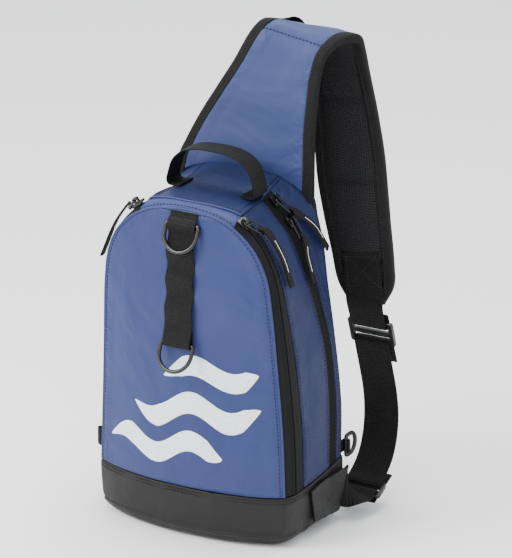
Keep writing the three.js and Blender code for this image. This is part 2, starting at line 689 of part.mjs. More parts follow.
// A D-ring in its own frame: the bar along X through the origin, the arc hanging down -Z
function dOutline({ width, height, wire }) {
  const half = (width - wire) / 2;
  const drop = height - wire;
  const corner = RING_CORNER;
  const points = [vec(-half + corner, 0, 0), vec(0, 0, 0)];
  for (const a of steps(90, 0, 3)) {
    const t = THREE.MathUtils.degToRad(a);
    points.push(vec(half - corner + corner * Math.cos(t), 0, -corner + corner * Math.sin(t)));
  }
  const straight = Math.max(drop - half, corner + 1);
  for (const a of steps(0, -180, 14)) {
    const t = THREE.MathUtils.degToRad(a);
    points.push(vec(half * Math.cos(t), 0, -straight + (drop - straight) * Math.sin(t)));
  }
  for (const a of steps(180, 90, 3).slice(0, -1)) {
    const t = THREE.MathUtils.degToRad(a);
    points.push(vec(-half + corner + corner * Math.cos(t), 0, -corner + corner * Math.sin(t)));
  }
  return points;
}

function dRing(size, place, tilt) {
  const turn = new THREE.Matrix4().makeRotationX(-THREE.MathUtils.degToRad(tilt));
  return wireLoop(dOutline(size), size.wire).applyMatrix4(turn).translate(...place.toArray());
}
const upperBar = frontAt(UPPER_RING.height, ringSeat + GAP);
const lowerBar = frontAt(LOWER_RING.height, lowerRingLift);
add("upper_d_ring", dRing(D_RING, upperBar, UPPER_RING.tilt), DARK_NICKEL, 0.3, 0.9);
add("lower_d_ring", dRing(D_RING, lowerBar, LOWER_RING.tilt), DARK_NICKEL, 0.3, 0.9);

// Side ring at the right rear seam: its bar stands upright in a folded webbing tab, the arc points back
const sideRadius = SIDE_RING.wire / 2 + GAP + halfWeb;
const sideBar = () => {
  const seam = SEAMS[BACK].getPoint(SIDE_RING.station / LAST_STATION);
  return vec(seam.x + 2.5, seam.y + 2 * GAP + sideRadius, seam.z);
};
function uprightRing() {
  const toBack = new THREE.Matrix4().makeBasis(vec(0, 0, 1), vec(-1, 0, 0), vec(0, -1, 0));
  const ring = wireLoop(dOutline(SIDE_RING), SIDE_RING.wire);
  return ring.applyMatrix4(toBack).translate(...sideBar().toArray());
}
function foldedTab(bar, radius, towards, side, length, width, across) {
  const legs = (sign) => bar.clone().addScaledVector(side, sign * radius).addScaledVector(towards, -length);
  const bend = wrap(bar, radius, side, towards, 0, 180, 8);
  return ribbon([legs(1), ...bend, legs(-1)], width, WEBBING.thickness, across);
}
add("side_d_ring_right", uprightRing(), BLACK_PLASTIC, 0.4);
const UP = vec(0, 0, 1);
add(
  "side_ring_tab_right",
  foldedTab(sideBar(), sideRadius, BACKWARDS, ACROSS, sideRadius + GAP, SIDE_RING.tab, UP),
  BLACK_CLOTH,
  0.9,
);

// A small webbing loop on the left side, just above the base
function sideLoop() {
  const at = (across, lift) => surfacePoint(LAST_STATION - LOOP.station, across, lift);
  const [near, far] = [at(LOOP.from, GAP + halfWeb), at(LOOP.to, GAP + halfWeb)];
  const tip = mix(at(LOOP.from, LOOP.reach), at(LOOP.to, LOOP.reach), 0.5);
  const belly = vec(0, LOOP.belly, 0);
  const path = curve([near, mix(near, tip, 0.6).sub(belly), tip, mix(far, tip, 0.6).add(belly), far]);
  return ribbon(path.getPoints(12), LOOP.width, WEBBING.thickness, UP);
}
add("side_loop_left", sideLoop(), BLACK_CLOTH, 0.9);

// Wings: folded cloth from the base's side to the webbing, thicker where the webbing is sewn in
function wingEdge(row, edge, side) {
  return vec(
    side * row[edge + "Out"] * BODY.halfWidth,
    row[edge + "Back"] * BODY.depth,
    row[edge + "Up"] * BASE.height,
  );
}
function wing(side) {
  const rows = WING_ROWS.map((row) => {
    const [low, top] = [wingEdge(row, "low", side), wingEdge(row, "top", side)];
    return steps(0, 1, 3).map((t) => mix(low, top, t));
  });
  const outside = vec(side, -0.3, 0);
  const face = (offset) => rows.map((row) => row.map((p) => p.clone().addScaledVector(outside, offset)));
  return wall(face(WING_CLOTH / 2), face(-WING_CLOTH / 2));
}
add("wing_right", wing(1), BLACK_CLOTH, 0.85);
add("wing_left", wing(-1), BLACK_CLOTH, 0.85);

// The tail: the webbing from the strap's end through the adjuster down to the lower buckle
const tailPoint = (row) => vec(row.out * BODY.halfWidth, row.back * BODY.depth, row.up * STRAP.top);
const tail = curve(TAIL_ROWS.map(tailPoint));
function tailFrame(u) {
  const along = tail.getTangent(u).setX(0).normalize();
  return { at: tail.getPoint(u), along, wide: ACROSS, normal: ACROSS.clone().cross(along) };
}

// A flat plastic buckle with bars across and slots between them, centred on its own origin, its height along Y.
function slottedPlate(width, bars, { bar, slot, thickness, side }) {
  const height = bars * bar + (bars - 1) * slot;
  const outline = roundedShape(width + 2 * side, height, bar * 0.6);
  for (let i = 0; i < bars - 1; i++) {
    const y = -height / 2 + bar + slot / 2 + i * (bar + slot);
    const hole = roundedShape(width, slot, 1).getPoints(3);
    outline.holes.push(new THREE.Path(hole.map((p) => p.setY(p.y + y))));
  }
  const plate = new THREE.ExtrudeGeometry(outline, { depth: thickness, bevelEnabled: false, curveSegments: 3 });
  return plate.translate(0, 0, -thickness / 2);
}
function roundedShape(width, height, radius) {
  const [w, h, r] = [width / 2, height / 2, Math.min(radius, width / 2, height / 2)];
  const shape = new THREE.Shape();
  shape.moveTo(-w + r, -h);
  shape.lineTo(w - r, -h).quadraticCurveTo(w, -h, w, -h + r);
  shape.lineTo(w, h - r).quadraticCurveTo(w, h, w - r, h);
  shape.lineTo(-w + r, h).quadraticCurveTo(-w, h, -w, h - r);
  shape.lineTo(-w, -h + r).quadraticCurveTo(-w, -h, -w + r, -h);
  return shape;
}

const glide = tailFrame(GLIDE.place);
const glideBarAt = (n) => glide.at.clone().addScaledVector(glide.along, n * (GLIDE.bar + GLIDE.slot));
const glideGeometry = slottedPlate(WEBBING.wide + 2 * GLIDE.play, 3, GLIDE);
add("tri_glide", placed(glideGeometry, glide.at, glide.wide, glide.along, glide.normal), BLACK_PLASTIC, 0.35);

const barRadius = (plate) => Math.hypot(plate.bar, plate.thickness) / 2 + GAP + halfWeb;
// The adjuster's front is the side where the strap's mesh face looks
const strapSide = -Math.sign(strapFrame(1).normal.dot(glide.normal));
const glideFront = glide.normal.clone().multiplyScalar(strapSide);

// The upper webbing: a patch sewn on the strap's mesh face, over the binding and round the adjuster's top bar
const PATCH_ROWS = [2.1, 1.7, 1.3, 0.6, 0]; // its rows, in rows of the strap before the end
const PATCH_TURN = { rows: 20, from: 14 }; // where on its path it turns from the strap's lie to the adjuster's
function upperWebbing() {
  const end = STRAP_ROWS.length - 1;
  const patch = -PAD_HALF - 3 * GAP - halfWeb;
  const overEdge = patch - STRAP.binding - 2.5 * GAP;
  const lifts = [patch, patch, overEdge, overEdge - GAP, overEdge - GAP];
  const onStrap = PATCH_ROWS.map((before, i) => strapPoint((end - before) / end, 0, lifts[i]));
  const radius = barRadius(GLIDE);
  const bar = glideBarAt(-1);
  const round = wrap(bar, radius, glideFront, glide.along, 0, 180, 8);
  const beside = (lift, back) => bar.clone().addScaledVector(glideFront, lift).addScaledVector(glide.along, -back);
  const before = beside(radius, GLIDE_WEB.lead);
  const behind = beside(GAP - radius, GLIDE_WEB.tuck);
  const path = [...curve([...onStrap, before]).getPoints(PATCH_TURN.rows), ...round, behind];
  const turned = (i) => clamped((i - PATCH_TURN.from) / (PATCH_TURN.rows - PATCH_TURN.from));
  const wide = path.map((_, i) => mix(strapFrame(1).wide, glide.wide, turned(i)));
  return ribbon(path, WEBBING.wide, WEBBING.thickness, wide);
}
add("upper_webbing", upperWebbing(), BLACK_CLOTH, 0.9);

// The lower buckle lies flat between the hanging webbing and the right wing's tab
const buckleAt = vec(BUCKLE.out * BODY.halfWidth, BUCKLE.back * BODY.depth, BUCKLE.up * BASE.height);
const buckleAlong = vec(0, Math.cos(BUCKLE.lean), Math.sin(BUCKLE.lean));
const buckleNormal = ACROSS.clone().cross(buckleAlong);
const bucklePitch = BUCKLE.bar + BUCKLE.slot;
const buckleBarAt = (n) => buckleAt.clone().addScaledVector(buckleAlong, (n * bucklePitch) / 2);
const buckleGeometry = slottedPlate(WEBBING.wide + 2 * GLIDE.play, 2, BUCKLE);
add("lower_buckle", placed(buckleGeometry, buckleAt, ACROSS, buckleAlong, buckleNormal), BLACK_PLASTIC, 0.35);

// The main webbing: from its free end behind the adjuster, round the lower bar, and down to the buckle's bar
const HANG_STATIONS = [0.5, 0.62, 0.74, 0.84]; // shares of the tail's length
function mainWebbing() {
  const radius = barRadius(GLIDE);
  const bar = glideBarAt(1);
  const freeEnd = glide.along.clone().multiplyScalar(GLIDE_WEB.tail);
  const start = bar.clone().addScaledVector(glideFront, -radius - 1).add(freeEnd);
  const round = wrap(bar, radius, glideFront.clone().negate(), glide.along.clone().negate(), 0, 180, 8);
  const hang = HANG_STATIONS.map((u) => tail.getPoint(u));
  const lower = barRadius(BUCKLE);
  const buckleBar = buckleBarAt(1);
  const bend = wrap(buckleBar, lower, buckleNormal, buckleAlong.clone().negate(), 0, 180, 8);
  const beside = (lift, reach) => {
    return buckleBar.clone().addScaledVector(buckleNormal, lift).addScaledVector(buckleAlong, reach);
  };
  const approach = beside(lower + GAP, BUCKLE_WEB.lead);
  const tip = beside(-lower - 1, BUCKLE_WEB.tail);
  const middle = curve([round.at(-1), ...hang, approach, bend[0]]).getPoints(24).slice(1, -1);
  return ribbon([start, ...round, ...middle, ...bend, tip], WEBBING.wide, WEBBING.thickness, ACROSS);
}
add("main_webbing", mainWebbing(), BLACK_CLOTH, 0.9);

// The tab sewn into the right wing's edge: it turns a quarter on its way to the buckle's front bar
function wingTab() {
  const end = WING_ROWS.at(-1);
  const [low, top] = [wingEdge(end, "low", 1), wingEdge(end, "top", 1)];
  const edge = top.clone().sub(low).normalize();
  const out = vec(0.35, 1, -0.2);
  out.addScaledVector(edge, -out.dot(edge)).normalize();
  const start = mix(low, top, 0.5).addScaledVector(out, 2 * GAP);
  const radius = barRadius(BUCKLE);
  const bar = buckleBarAt(-1);
  const bend = wrap(bar, radius, buckleNormal, buckleAlong, 0, 180, 8);
  const before = bar.clone().addScaledVector(buckleNormal, radius).addScaledVector(buckleAlong, -WING_TAB.lead);
  const leave = start.clone().addScaledVector(out, WING_TAB.leave);
  const path = [...curve([start, leave, before, bend[0]]).getPoints(10).slice(0, -1), ...bend];
  path.push(bar.clone().addScaledVector(buckleNormal, -radius).addScaledVector(buckleAlong, -WING_TAB.tuck));
  const turned = ACROSS.clone().negate();
  const wide = path.map((_, i) => mix(edge, turned, clamped(i / WING_TAB.twist)));
  return ribbon(path, WEBBING.wide, WEBBING.thickness, wide);
}
add("wing_tab_right", wingTab(), BLACK_CLOTH, 0.9);

// Zip sliders, their wire pulls and the cloth pullers on them
const wasm = await Module();
wasm.setup();
function solidOf(geometry) {
  const bare = geometry.clone();
  for (const name of ["normal", "uv"]) bare.deleteAttribute(name);
  const merged = mergeVertices(bare, 1e-4);
  const vertProperties = merged.attributes.position.array;
  const triVerts = new Uint32Array(merged.index.array);
  return new wasm.Manifold(new wasm.Mesh({ numProp: 3, vertProperties, triVerts }));
}
function joined(first, second) {
  const mesh = solidOf(first).add(solidOf(second)).getMesh();
  const geometry = new THREE.BufferGeometry();
  geometry.setAttribute("position", new THREE.BufferAttribute(mesh.vertProperties, 3));
  geometry.setIndex(new THREE.BufferAttribute(mesh.triVerts, 1));
  return geometry;
}

const eyeHeight = SLIDER.height - SLIDER_BOW.rim - SLIDER_BOW.eye / 2;

// Slider: X along the zipper, Y across, Z off the tape.
function slider() {
  const { length, width, body, height, bridge } = SLIDER;
  const { arch, eye, rim } = SLIDER_BOW;
  const across = (shape, depth) => {
    const geometry = new THREE.ExtrudeGeometry(shape, { depth, bevelEnabled: false, curveSegments: 2 });
    return geometry.rotateX(Math.PI / 2).translate(0, depth / 2, 0);
  };
  const block = across(roundedShape(length, body, body / 3), width).translate(0, 0, body / 2);
  const eyeHole = roundedShape(arch - 2, eye, rim / 2).getPoints(2);
  const bow = roundedShape(arch, height, rim);
  bow.holes.push(new THREE.Path(eyeHole.map((p) => p.setY(p.y + eyeHeight - height / 2))));
  return joined(block, across(bow, bridge).translate(0, 0, height / 2));
}

for (const { name, side, rows } of ZIPS) {
  const at = ([station, across, lift]) => {
    const p = surfacePoint(station, across, lift);
    return vec(side * p.x, p.y, p.z);
  };
  const seat = at([rows[0][0], rows[0][1], GAP + SLIDER.seat]);
  const next = at(rows[1]);
  const normal = at([rows[0][0], rows[0][1], 10]).sub(at([rows[0][0], rows[0][1], 0])).normalize();
  const along = at([rows[0][0] - 0.2, rows[0][1], 0]).sub(at([rows[0][0] + 0.2, rows[0][1], 0]));
  along.addScaledVector(normal, -along.dot(normal)).normalize();
  const wide = normal.clone().cross(along);
  add("slider_" + name, placed(slider(), seat, along, wide, normal), DARK_NICKEL, 0.35, 0.9);

  const eye = seat.clone().addScaledVector(normal, eyeHeight);
  const reach = next.sub(eye).normalize();
  wide.addScaledVector(reach, -wide.dot(reach)).normalize();
  const face = reach.clone().cross(wide);
  const straight = PULL.length - PULL.wire;
  const flat = roundedShape(PULL.width - PULL.wire, straight, PULL.corner).getPoints(3);
  const middle = mix(eye, eye.clone().addScaledVector(reach, straight), 0.5);
  const loop = flat.map((p) => middle.clone().addScaledVector(wide, p.x).addScaledVector(reach, p.y));
  if (loop[0].distanceTo(loop.at(-1)) < 1e-6) loop.pop();
  add("pull_" + name, wireLoop(loop, PULL.wire), DARK_NICKEL, 0.35, 0.9);

  const bar = eye.clone().addScaledVector(reach, straight);
  const radius = PULL.wire / 2 + GAP + PULLER.thickness / 2;
  const bend = wrap(bar, radius, face.clone().negate(), reach.clone().negate(), 0, 180, 6);
  const under = bar.clone().addScaledVector(face, -radius).addScaledVector(reach, PULLER.lead);
  const leave = bend.at(-1).clone().addScaledVector(reach, PULLER.lead);
  const course = curve([bend.at(-1), leave, ...rows.slice(2).map(at)]).getPoints(12).slice(1);
  const path = [under, ...bend, ...course];
  const neckRows = 1 + bend.length + 1;
  const width = path.map((_, i) => (i < neckRows ? PULLER.neck : PULLER.width));
  add("puller_" + name, ribbon(path, width, PULLER.thickness, wide), BLACK_CLOTH, 0.9);
}

// The origin: the underside of the strap's fold
const REST_ROW = 7;
bag.position.copy(strapPoint(REST_ROW / (STRAP_ROWS.length - 1), 0, -PAD_HALF)).negate();
root.updateMatrixWorld(true);
export default root;
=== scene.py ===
import itertools
import json
import math

import bmesh
import bpy
import numpy as np
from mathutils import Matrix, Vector, noise


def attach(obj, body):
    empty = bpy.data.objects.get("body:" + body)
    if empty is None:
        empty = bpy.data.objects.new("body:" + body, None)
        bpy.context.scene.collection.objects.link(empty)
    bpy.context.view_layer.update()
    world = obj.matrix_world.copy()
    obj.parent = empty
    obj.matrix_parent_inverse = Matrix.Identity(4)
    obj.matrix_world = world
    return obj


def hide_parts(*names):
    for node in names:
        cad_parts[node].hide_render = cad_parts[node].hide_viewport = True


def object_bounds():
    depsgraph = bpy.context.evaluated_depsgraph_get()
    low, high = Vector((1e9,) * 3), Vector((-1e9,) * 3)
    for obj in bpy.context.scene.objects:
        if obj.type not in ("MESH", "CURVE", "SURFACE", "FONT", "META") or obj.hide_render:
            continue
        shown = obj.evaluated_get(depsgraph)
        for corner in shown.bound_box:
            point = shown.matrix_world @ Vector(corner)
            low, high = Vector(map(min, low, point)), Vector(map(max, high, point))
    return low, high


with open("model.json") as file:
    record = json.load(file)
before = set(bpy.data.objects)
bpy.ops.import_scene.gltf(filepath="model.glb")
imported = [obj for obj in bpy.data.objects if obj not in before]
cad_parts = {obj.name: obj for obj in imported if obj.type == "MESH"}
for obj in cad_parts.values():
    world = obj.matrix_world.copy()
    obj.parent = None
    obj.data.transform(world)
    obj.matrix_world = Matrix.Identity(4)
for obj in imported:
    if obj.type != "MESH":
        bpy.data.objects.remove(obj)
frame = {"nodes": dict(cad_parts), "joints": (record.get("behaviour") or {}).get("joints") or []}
cad_box = [list(corner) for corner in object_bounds()]

# The camera and studio.
# The bag is seen from its front right and a little above, in soft light from the front left.

VIEW_AZIMUTH = math.radians(30)
VIEW_ELEVATION = math.radians(20)
VIEW_DISTANCE = 4.333
LOOK_AT = Vector((-0.0176, -0.0882, -0.2219))
FIELD_OF_VIEW = math.radians(7)
FLOOR_SIZE, FLOOR_DROP = 6, 0.0005


def in_scene(name, data):
    thing = bpy.data.objects.new(name, data)
    bpy.context.scene.collection.objects.link(thing)
    return thing


def aim(thing, place, target):
    thing.location = place
    thing.rotation_euler = (target - place).to_track_quat("-Z", "Y").to_euler()


def make_camera():
    data = bpy.data.cameras.new("camera")
    camera = in_scene("camera", data)
    data.sensor_width = 36
    data.lens = data.sensor_width / 2 / math.tan(FIELD_OF_VIEW / 2)
    flat = math.cos(VIEW_ELEVATION)
    back = Vector((math.sin(VIEW_AZIMUTH) * flat, -math.cos(VIEW_AZIMUTH) * flat, math.sin(VIEW_ELEVATION)))
    aim(camera, LOOK_AT + back * VIEW_DISTANCE, LOOK_AT)
    bpy.context.scene.camera = camera


def soft_light(name, place, size, power, target=LOOK_AT):
    data = bpy.data.lights.new(name, "AREA")
    data.size = size
    data.energy = power
    light = in_scene(name, data)
    aim(light, Vector(place), target)


def make_floor():
    material = bpy.data.materials.new("studio_floor")
    material.use_nodes = True
    shader = material.node_tree.nodes["Principled BSDF"]
    shader.inputs["Base Color"].default_value = (0.92, 0.92, 0.92, 1)
    shader.inputs["Roughness"].default_value = 0.9
    shader.inputs["Specular IOR Level"].default_value = 0.1
    bm = bmesh.new()
    bmesh.ops.create_grid(bm, x_segments=1, y_segments=1, size=FLOOR_SIZE)
    for v in bm.verts:
        v.co.z = cad_box[0][2] - FLOOR_DROP
    mesh = bpy.data.meshes.new("floor")
    bm.to_mesh(mesh)
    bm.free()
    floor = in_scene("floor", mesh)
    mesh.materials.append(material)


def light_world():
    world = bpy.data.worlds.new("studio")
    world.use_nodes = True
    world.node_tree.nodes["Background"].inputs["Color"].default_value = (0.95, 0.97, 1, 1)
    world.node_tree.nodes["Background"].inputs["Strength"].default_value = 1.5
    bpy.context.scene.world = world


make_camera()
make_floor()
light_world()
soft_light("key", (-0.85, -1.05, 0.75), 0.7, 30)
soft_light("fill", (1.6, -1.2, 0.4), 1.4, 4)
soft_light("top", (-0.1, 0.3, 1.6), 1.2, 36)


# The navy walls of the bag.
# They are cut from coated nylon, satin on the outside, and sewn along five seams that run up one side, over
# the top and down the other. The walls are laid out here on those seams, as a cutter lays panels out on a
# block.

MM = 0.001
BAG_ORIGIN = np.array((-56.5057, -108.2435, -467.4119))
BODY_HEIGHT, BODY_HALF_WIDTH, BODY_DEPTH, BASE_HEIGHT = 343, 107, 132, 52
TOP_CENTRE = 9
LAST_STATION = 2 * TOP_CENTRE
CLOTH = 1.9
SWELLS = np.array((2.5, 1.2, 0.6, 0.6))

# Rows from the base seam to the top centre: up of the height above the base, out of the half width, back of
# the depth.
PANEL_EDGE = [
    (0.0, 0.949, -0.265), (0.216, 0.925, -0.265), (0.44, 0.888, -0.288), (0.663, 0.846, -0.318),
    (0.759, 0.804, -0.326), (0.835, 0.71, -0.333), (0.88, 0.598, -0.333), (0.911, 0.477, -0.333),
    (0.938, 0.28, -0.333), (0.948, 0.0, -0.333),
]
FRONT_TAPE_REAR = [
    (0.003, 1.0, -0.045), (0.216, 0.981, -0.045), (0.44, 0.935, -0.076), (0.656, 0.883, -0.144),
    (0.753, 0.822, -0.152), (0.832, 0.72, -0.159), (0.887, 0.617, -0.167), (0.935, 0.467, -0.197),
    (0.957, 0.262, -0.235), (0.962, 0.0, -0.258),
]
REAR_TAPE_FRONT = [
    (0.017, 0.991, 0.348), (0.216, 0.991, 0.348), (0.43, 0.953, 0.333), (0.629, 0.85, 0.28),
    (0.739, 0.776, 0.235), (0.828, 0.692, 0.189), (0.89, 0.561, 0.167), (0.942, 0.43, 0.152),
    (0.959, 0.243, 0.136), (0.964, 0.0, 0.129),
]
REAR_TAPE_REAR = [
    (0.024, 0.991, 0.451), (0.216, 0.991, 0.447), (0.43, 0.944, 0.432), (0.629, 0.841, 0.386),
    (0.739, 0.776, 0.348), (0.835, 0.701, 0.303), (0.9, 0.57, 0.288), (0.955, 0.421, 0.28),
    (0.976, 0.243, 0.28), (0.983, 0.0, 0.28),
]
BACK_EDGE = [
    (0.027, 0.972, 0.553), (0.216, 0.972, 0.553), (0.43, 0.907, 0.553), (0.639, 0.832, 0.545),
    (0.766, 0.794, 0.538), (0.856, 0.738, 0.534), (0.924, 0.692, 0.53), (0.983, 0.411, 0.53),
    (0.997, 0.196, 0.53), (1.0, 0.0, 0.53),
]
PANEL_FULLNESS = 2.4
BACK_SWELL = 4
FRONT_SWELL = [0.167, 0.18, 0.144, 0.091, 0.068, 0.053, 0.038, 0.023, 0.01, 0.0]


def smooth_line(points):
    """A centripetal curve through points, asked by a share from 0 to 1."""
    p = np.array(points, float)
    p = np.vstack([2 * p[0] - p[1], p, 2 * p[-1] - p[-2]])

    def at(share):
        spans = len(p) - 3
        x = np.clip(np.atleast_1d(np.asarray(share, float)), 0, 1) * spans
        i = np.minimum(x.astype(int), spans - 1)
        w = (x - i)[:, None]
        a, b, c, d = p[i], p[i + 1], p[i + 2], p[i + 3]
        ab, bc, cd = (np.sqrt(np.linalg.norm(r - q, axis=1))[:, None] for q, r in ((a, b), (b, c), (c, d)))
        leave = ((b - a) / ab - (c - a) / (ab + bc) + (c - b) / bc) * bc
        arrive = ((c - b) / bc - (d - b) / (bc + cd) + (d - c) / cd) * bc
        square = -3 * b + 3 * c - 2 * leave - arrive
        cube = 2 * b - 2 * c + leave + arrive
        return b + leave * w + square * w**2 + cube * w**3

    return at


def seam_line(rows):
    up, out, back = np.array(rows).T
    height = BASE_HEIGHT + up * (BODY_HEIGHT - BASE_HEIGHT)
    right = np.stack([out * BODY_HALF_WIDTH, back * BODY_DEPTH, height], axis=1)
    left = right[-2::-1] * (-1, 1, 1)
    return smooth_line(np.vstack([right, left]))


SEAMS = [seam_line(rows)
         for rows in (PANEL_EDGE, FRONT_TAPE_REAR, REAR_TAPE_FRONT, REAR_TAPE_REAR, BACK_EDGE)]


def outwards(seam, share):
    step = 1e-4
    tangent = SEAMS[seam](share + step) - SEAMS[seam](share - step)
    out = np.stack([tangent[:, 2], np.zeros(len(tangent)), -tangent[:, 0]], axis=1)
    return out / np.linalg.norm(out, axis=1)[:, None]


def wall_points(station, across, lift=0.0):
    """Points of the side and top walls: across from the front seam, 0, to the back one, 4."""
    station, across, lift = np.broadcast_arrays(*(np.asarray(v, float) for v in (station, across, lift)))
    shape = station.shape
    share, across, lift = station.ravel() / LAST_STATION, across.ravel(), lift.ravel()
    seam = np.clip(np.floor(across).astype(int), 0, len(SWELLS) - 1)
    t = (across - seam)[:, None]
    lines = np.stack([line(share) for line in SEAMS])
    outs = np.stack([outwards(k, share) for k in range(len(SEAMS))])
    row = np.arange(len(share))
    place = lines[seam, row] * (1 - t) + lines[seam + 1, row] * t
    out = outs[seam, row] * (1 - t) + outs[seam + 1, row] * t
    out[:, 1] -= np.where(seam == 0, 0.7 * (1 - t[:, 0]), 0)
    out /= np.linalg.norm(out, axis=1)[:, None]
    swell = SWELLS[seam] * 4 * t[:, 0] * (1 - t[:, 0])
    return (place + out * (swell + lift)[:, None]).reshape(shape + (3,))


def seam_edge(seam, station):
    return SEAMS[seam](np.asarray(station, float).ravel() / LAST_STATION).reshape(np.shape(station) + (3,))


def panel_swell(station):
    return np.interp(station, np.arange(len(FRONT_SWELL)), FRONT_SWELL) * BODY_DEPTH


def front_points(station, side, lift=0.0):
    """Points of the front panel: station up its edge, side from -1 at the left edge to 1 at the right."""
    edge = seam_edge(0, station)
    bulge = panel_swell(station) * (1 - np.abs(side) ** PANEL_FULLNESS) + lift
    return np.stack([edge[..., 0] * side, edge[..., 1] - bulge, edge[..., 2]], axis=-1)


def back_points(station, side, lift=0.0):
    edge = seam_edge(4, station)
    fullness = BACK_SWELL * (panel_swell(station) + 1) / (FRONT_SWELL[0] * BODY_DEPTH + 1)
    bulge = fullness * (1 - np.abs(side) ** PANEL_FULLNESS) + lift
    return np.stack([edge[..., 0] * side, edge[..., 1] + bulge, edge[..., 2]], axis=-1)


def grid_normals(points):
    """Unit normals of a grid, to the outside where rows run up and columns to the right, seen from there."""
    up = np.gradient(points, axis=0)
    along = np.gradient(points, axis=1)
    normal = np.cross(along, up)
    return normal / np.maximum(np.linalg.norm(normal, axis=-1), 1e-9)[..., None]


def lengths_along(points, axis):
    steps = np.linalg.norm(np.diff(points, axis=axis), axis=-1)
    total = np.cumsum(steps, axis=axis)
    start = np.zeros_like(np.take(total, [0], axis=axis))
    return np.concatenate([start, total], axis=axis)


def give_uv(mesh, uv):
    corner = np.zeros(len(mesh.loops), np.int32)
    mesh.loops.foreach_get("vertex_index", corner)
    mesh.uv_layers.new(name="cloth").data.foreach_set("uv", uv[corner].astype(np.float32).ravel())


def mark_seam(mesh, distance):
    """Keeps each point's distance from its seam, in metres, for the materials."""
    attribute = mesh.attributes.new("seam", "FLOAT", "POINT")
    attribute.data.foreach_set("value", distance.ravel().astype(np.float32))


def cloth_piece(name, outer, thickness, material, facing=1, nodes=(), seam_margin=None):
    """A wall of cloth from a grid of points of its outer face, in millimetres. Its UV map is in metres."""
    rows, columns = outer.shape[:2]
    normal = grid_normals(outer) * facing
    inner = outer - normal * thickness
    across = lengths_along(outer, 1)
    across -= across[:, columns // 2][:, None]
    along = np.broadcast_to(lengths_along(outer, 0)[:, columns // 2][:, None], (rows, columns))
    points = (np.concatenate([outer.reshape(-1, 3), inner.reshape(-1, 3)]) + BAG_ORIGIN) * MM
    index = np.arange(rows * columns).reshape(rows, columns)
    size = rows * columns
    a, b, c, d = index[:-1, :-1], index[:-1, 1:], index[1:, 1:], index[1:, :-1]
    front = np.stack([a, b, c, d], axis=-1).reshape(-1, 4)
    back = front[:, ::-1] + size
    ring = np.concatenate([index[0, :-1], index[:-1, -1], index[-1, :0:-1], index[:0:-1, 0]])
    following = np.roll(ring, -1)
    rim = np.stack([following, ring, ring + size, following + size], axis=-1)
    faces = np.concatenate([front, back, rim])
    if facing < 0:
        faces = faces[:, ::-1]
    mesh = bpy.data.meshes.new(name)
    mesh.from_pydata(points.tolist(), [], faces.tolist())
    uv = np.stack([across, along], axis=-1).reshape(-1, 2) * MM
    give_uv(mesh, np.concatenate([uv, uv]))
    edge = np.full((rows, columns), 1.0)
    if seam_margin is not None:
        edge = seam_margin * MM
    mark_seam(mesh, np.concatenate([edge.ravel(), edge.ravel()]))
    mesh.shade_smooth()
    mesh.materials.append(material)
    piece = in_scene(name, mesh)
    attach(piece, "bag")
    if nodes:
        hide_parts(*nodes)
    return piece


def group_socket(tree, name, kind, direction, value=None):
    socket = tree.interface.new_socket(name=name, in_out=direction, socket_type=kind)
    if value is not None:
        socket.default_value = value
    return socket


def put(tree, kind, links=(), **values):
    """Adds a node: values set its properties, inputs its sockets, and links join its inputs to outputs."""
    made = tree.nodes.new(kind)
    inputs = values.pop("inputs", {})
    for key, value in values.items():
        setattr(made, key, value)
    for key, value in inputs.items():
        made.inputs[key].default_value = value
    for key, source in links:
        tree.links.new(source, made.inputs[key])
    return made


def maths(tree, operation, *values):
    """A calculation on sockets and plain numbers."""
    made = put(tree, "ShaderNodeMath", operation=operation)
    for k, value in enumerate(values):
        if isinstance(value, bpy.types.NodeSocket):
            tree.links.new(value, made.inputs[k])
        else:
            made.inputs[k].default_value = value
    return made.outputs[0]


def ranged(tree, value, low, high, to_low=0.0, to_high=1.0):
    made = put(tree, "ShaderNodeMapRange", [("Value", value)],
               inputs={"From Min": low, "From Max": high, "To Min": to_low, "To Max": to_high})
    return made.outputs[0]


def start_material(name):
    """A material with its tree, its shader and the coordinates that its patterns lie in."""
    material = bpy.data.materials.new(name)
    material.use_nodes = True
    tree = material.node_tree
    return material, tree, tree.nodes["Principled BSDF"], put(tree, "ShaderNodeTexCoord")


def speckle(tree, place, scale, detail, roughness=0.5):
    made = put(tree, "ShaderNodeTexNoise", [("Vector", place.outputs["Object"])],
               inputs={"Scale": scale, "Detail": detail, "Roughness": roughness})
    return made.outputs["Fac"]


def raised(tree, shader, height, strength, distance, over=None):
    """Relief on the shader, a distance in metres high, over another relief where one is given."""
    links = [("Height", height)]
    if over is not None:
        links.append(("Normal", over))
    bump = put(tree, "ShaderNodeBump", links, inputs={"Strength": strength, "Distance": distance})
    tree.links.new(bump.outputs["Normal"], shader.inputs["Normal"])


def two_tone(tree, shader, factor, colour, darker, lighter):
    """Varies the shader's colour between a darker and a lighter share of it."""
    colours = put(tree, "ShaderNodeMix", [("Factor", factor)], data_type="RGBA")
    colours.inputs["A"].default_value = (*(darker * c for c in colour), 1)
    colours.inputs["B"].default_value = (*(min(lighter * c, 1) for c in colour), 1)
    tree.links.new(colours.outputs["Result"], shader.inputs["Base Color"])


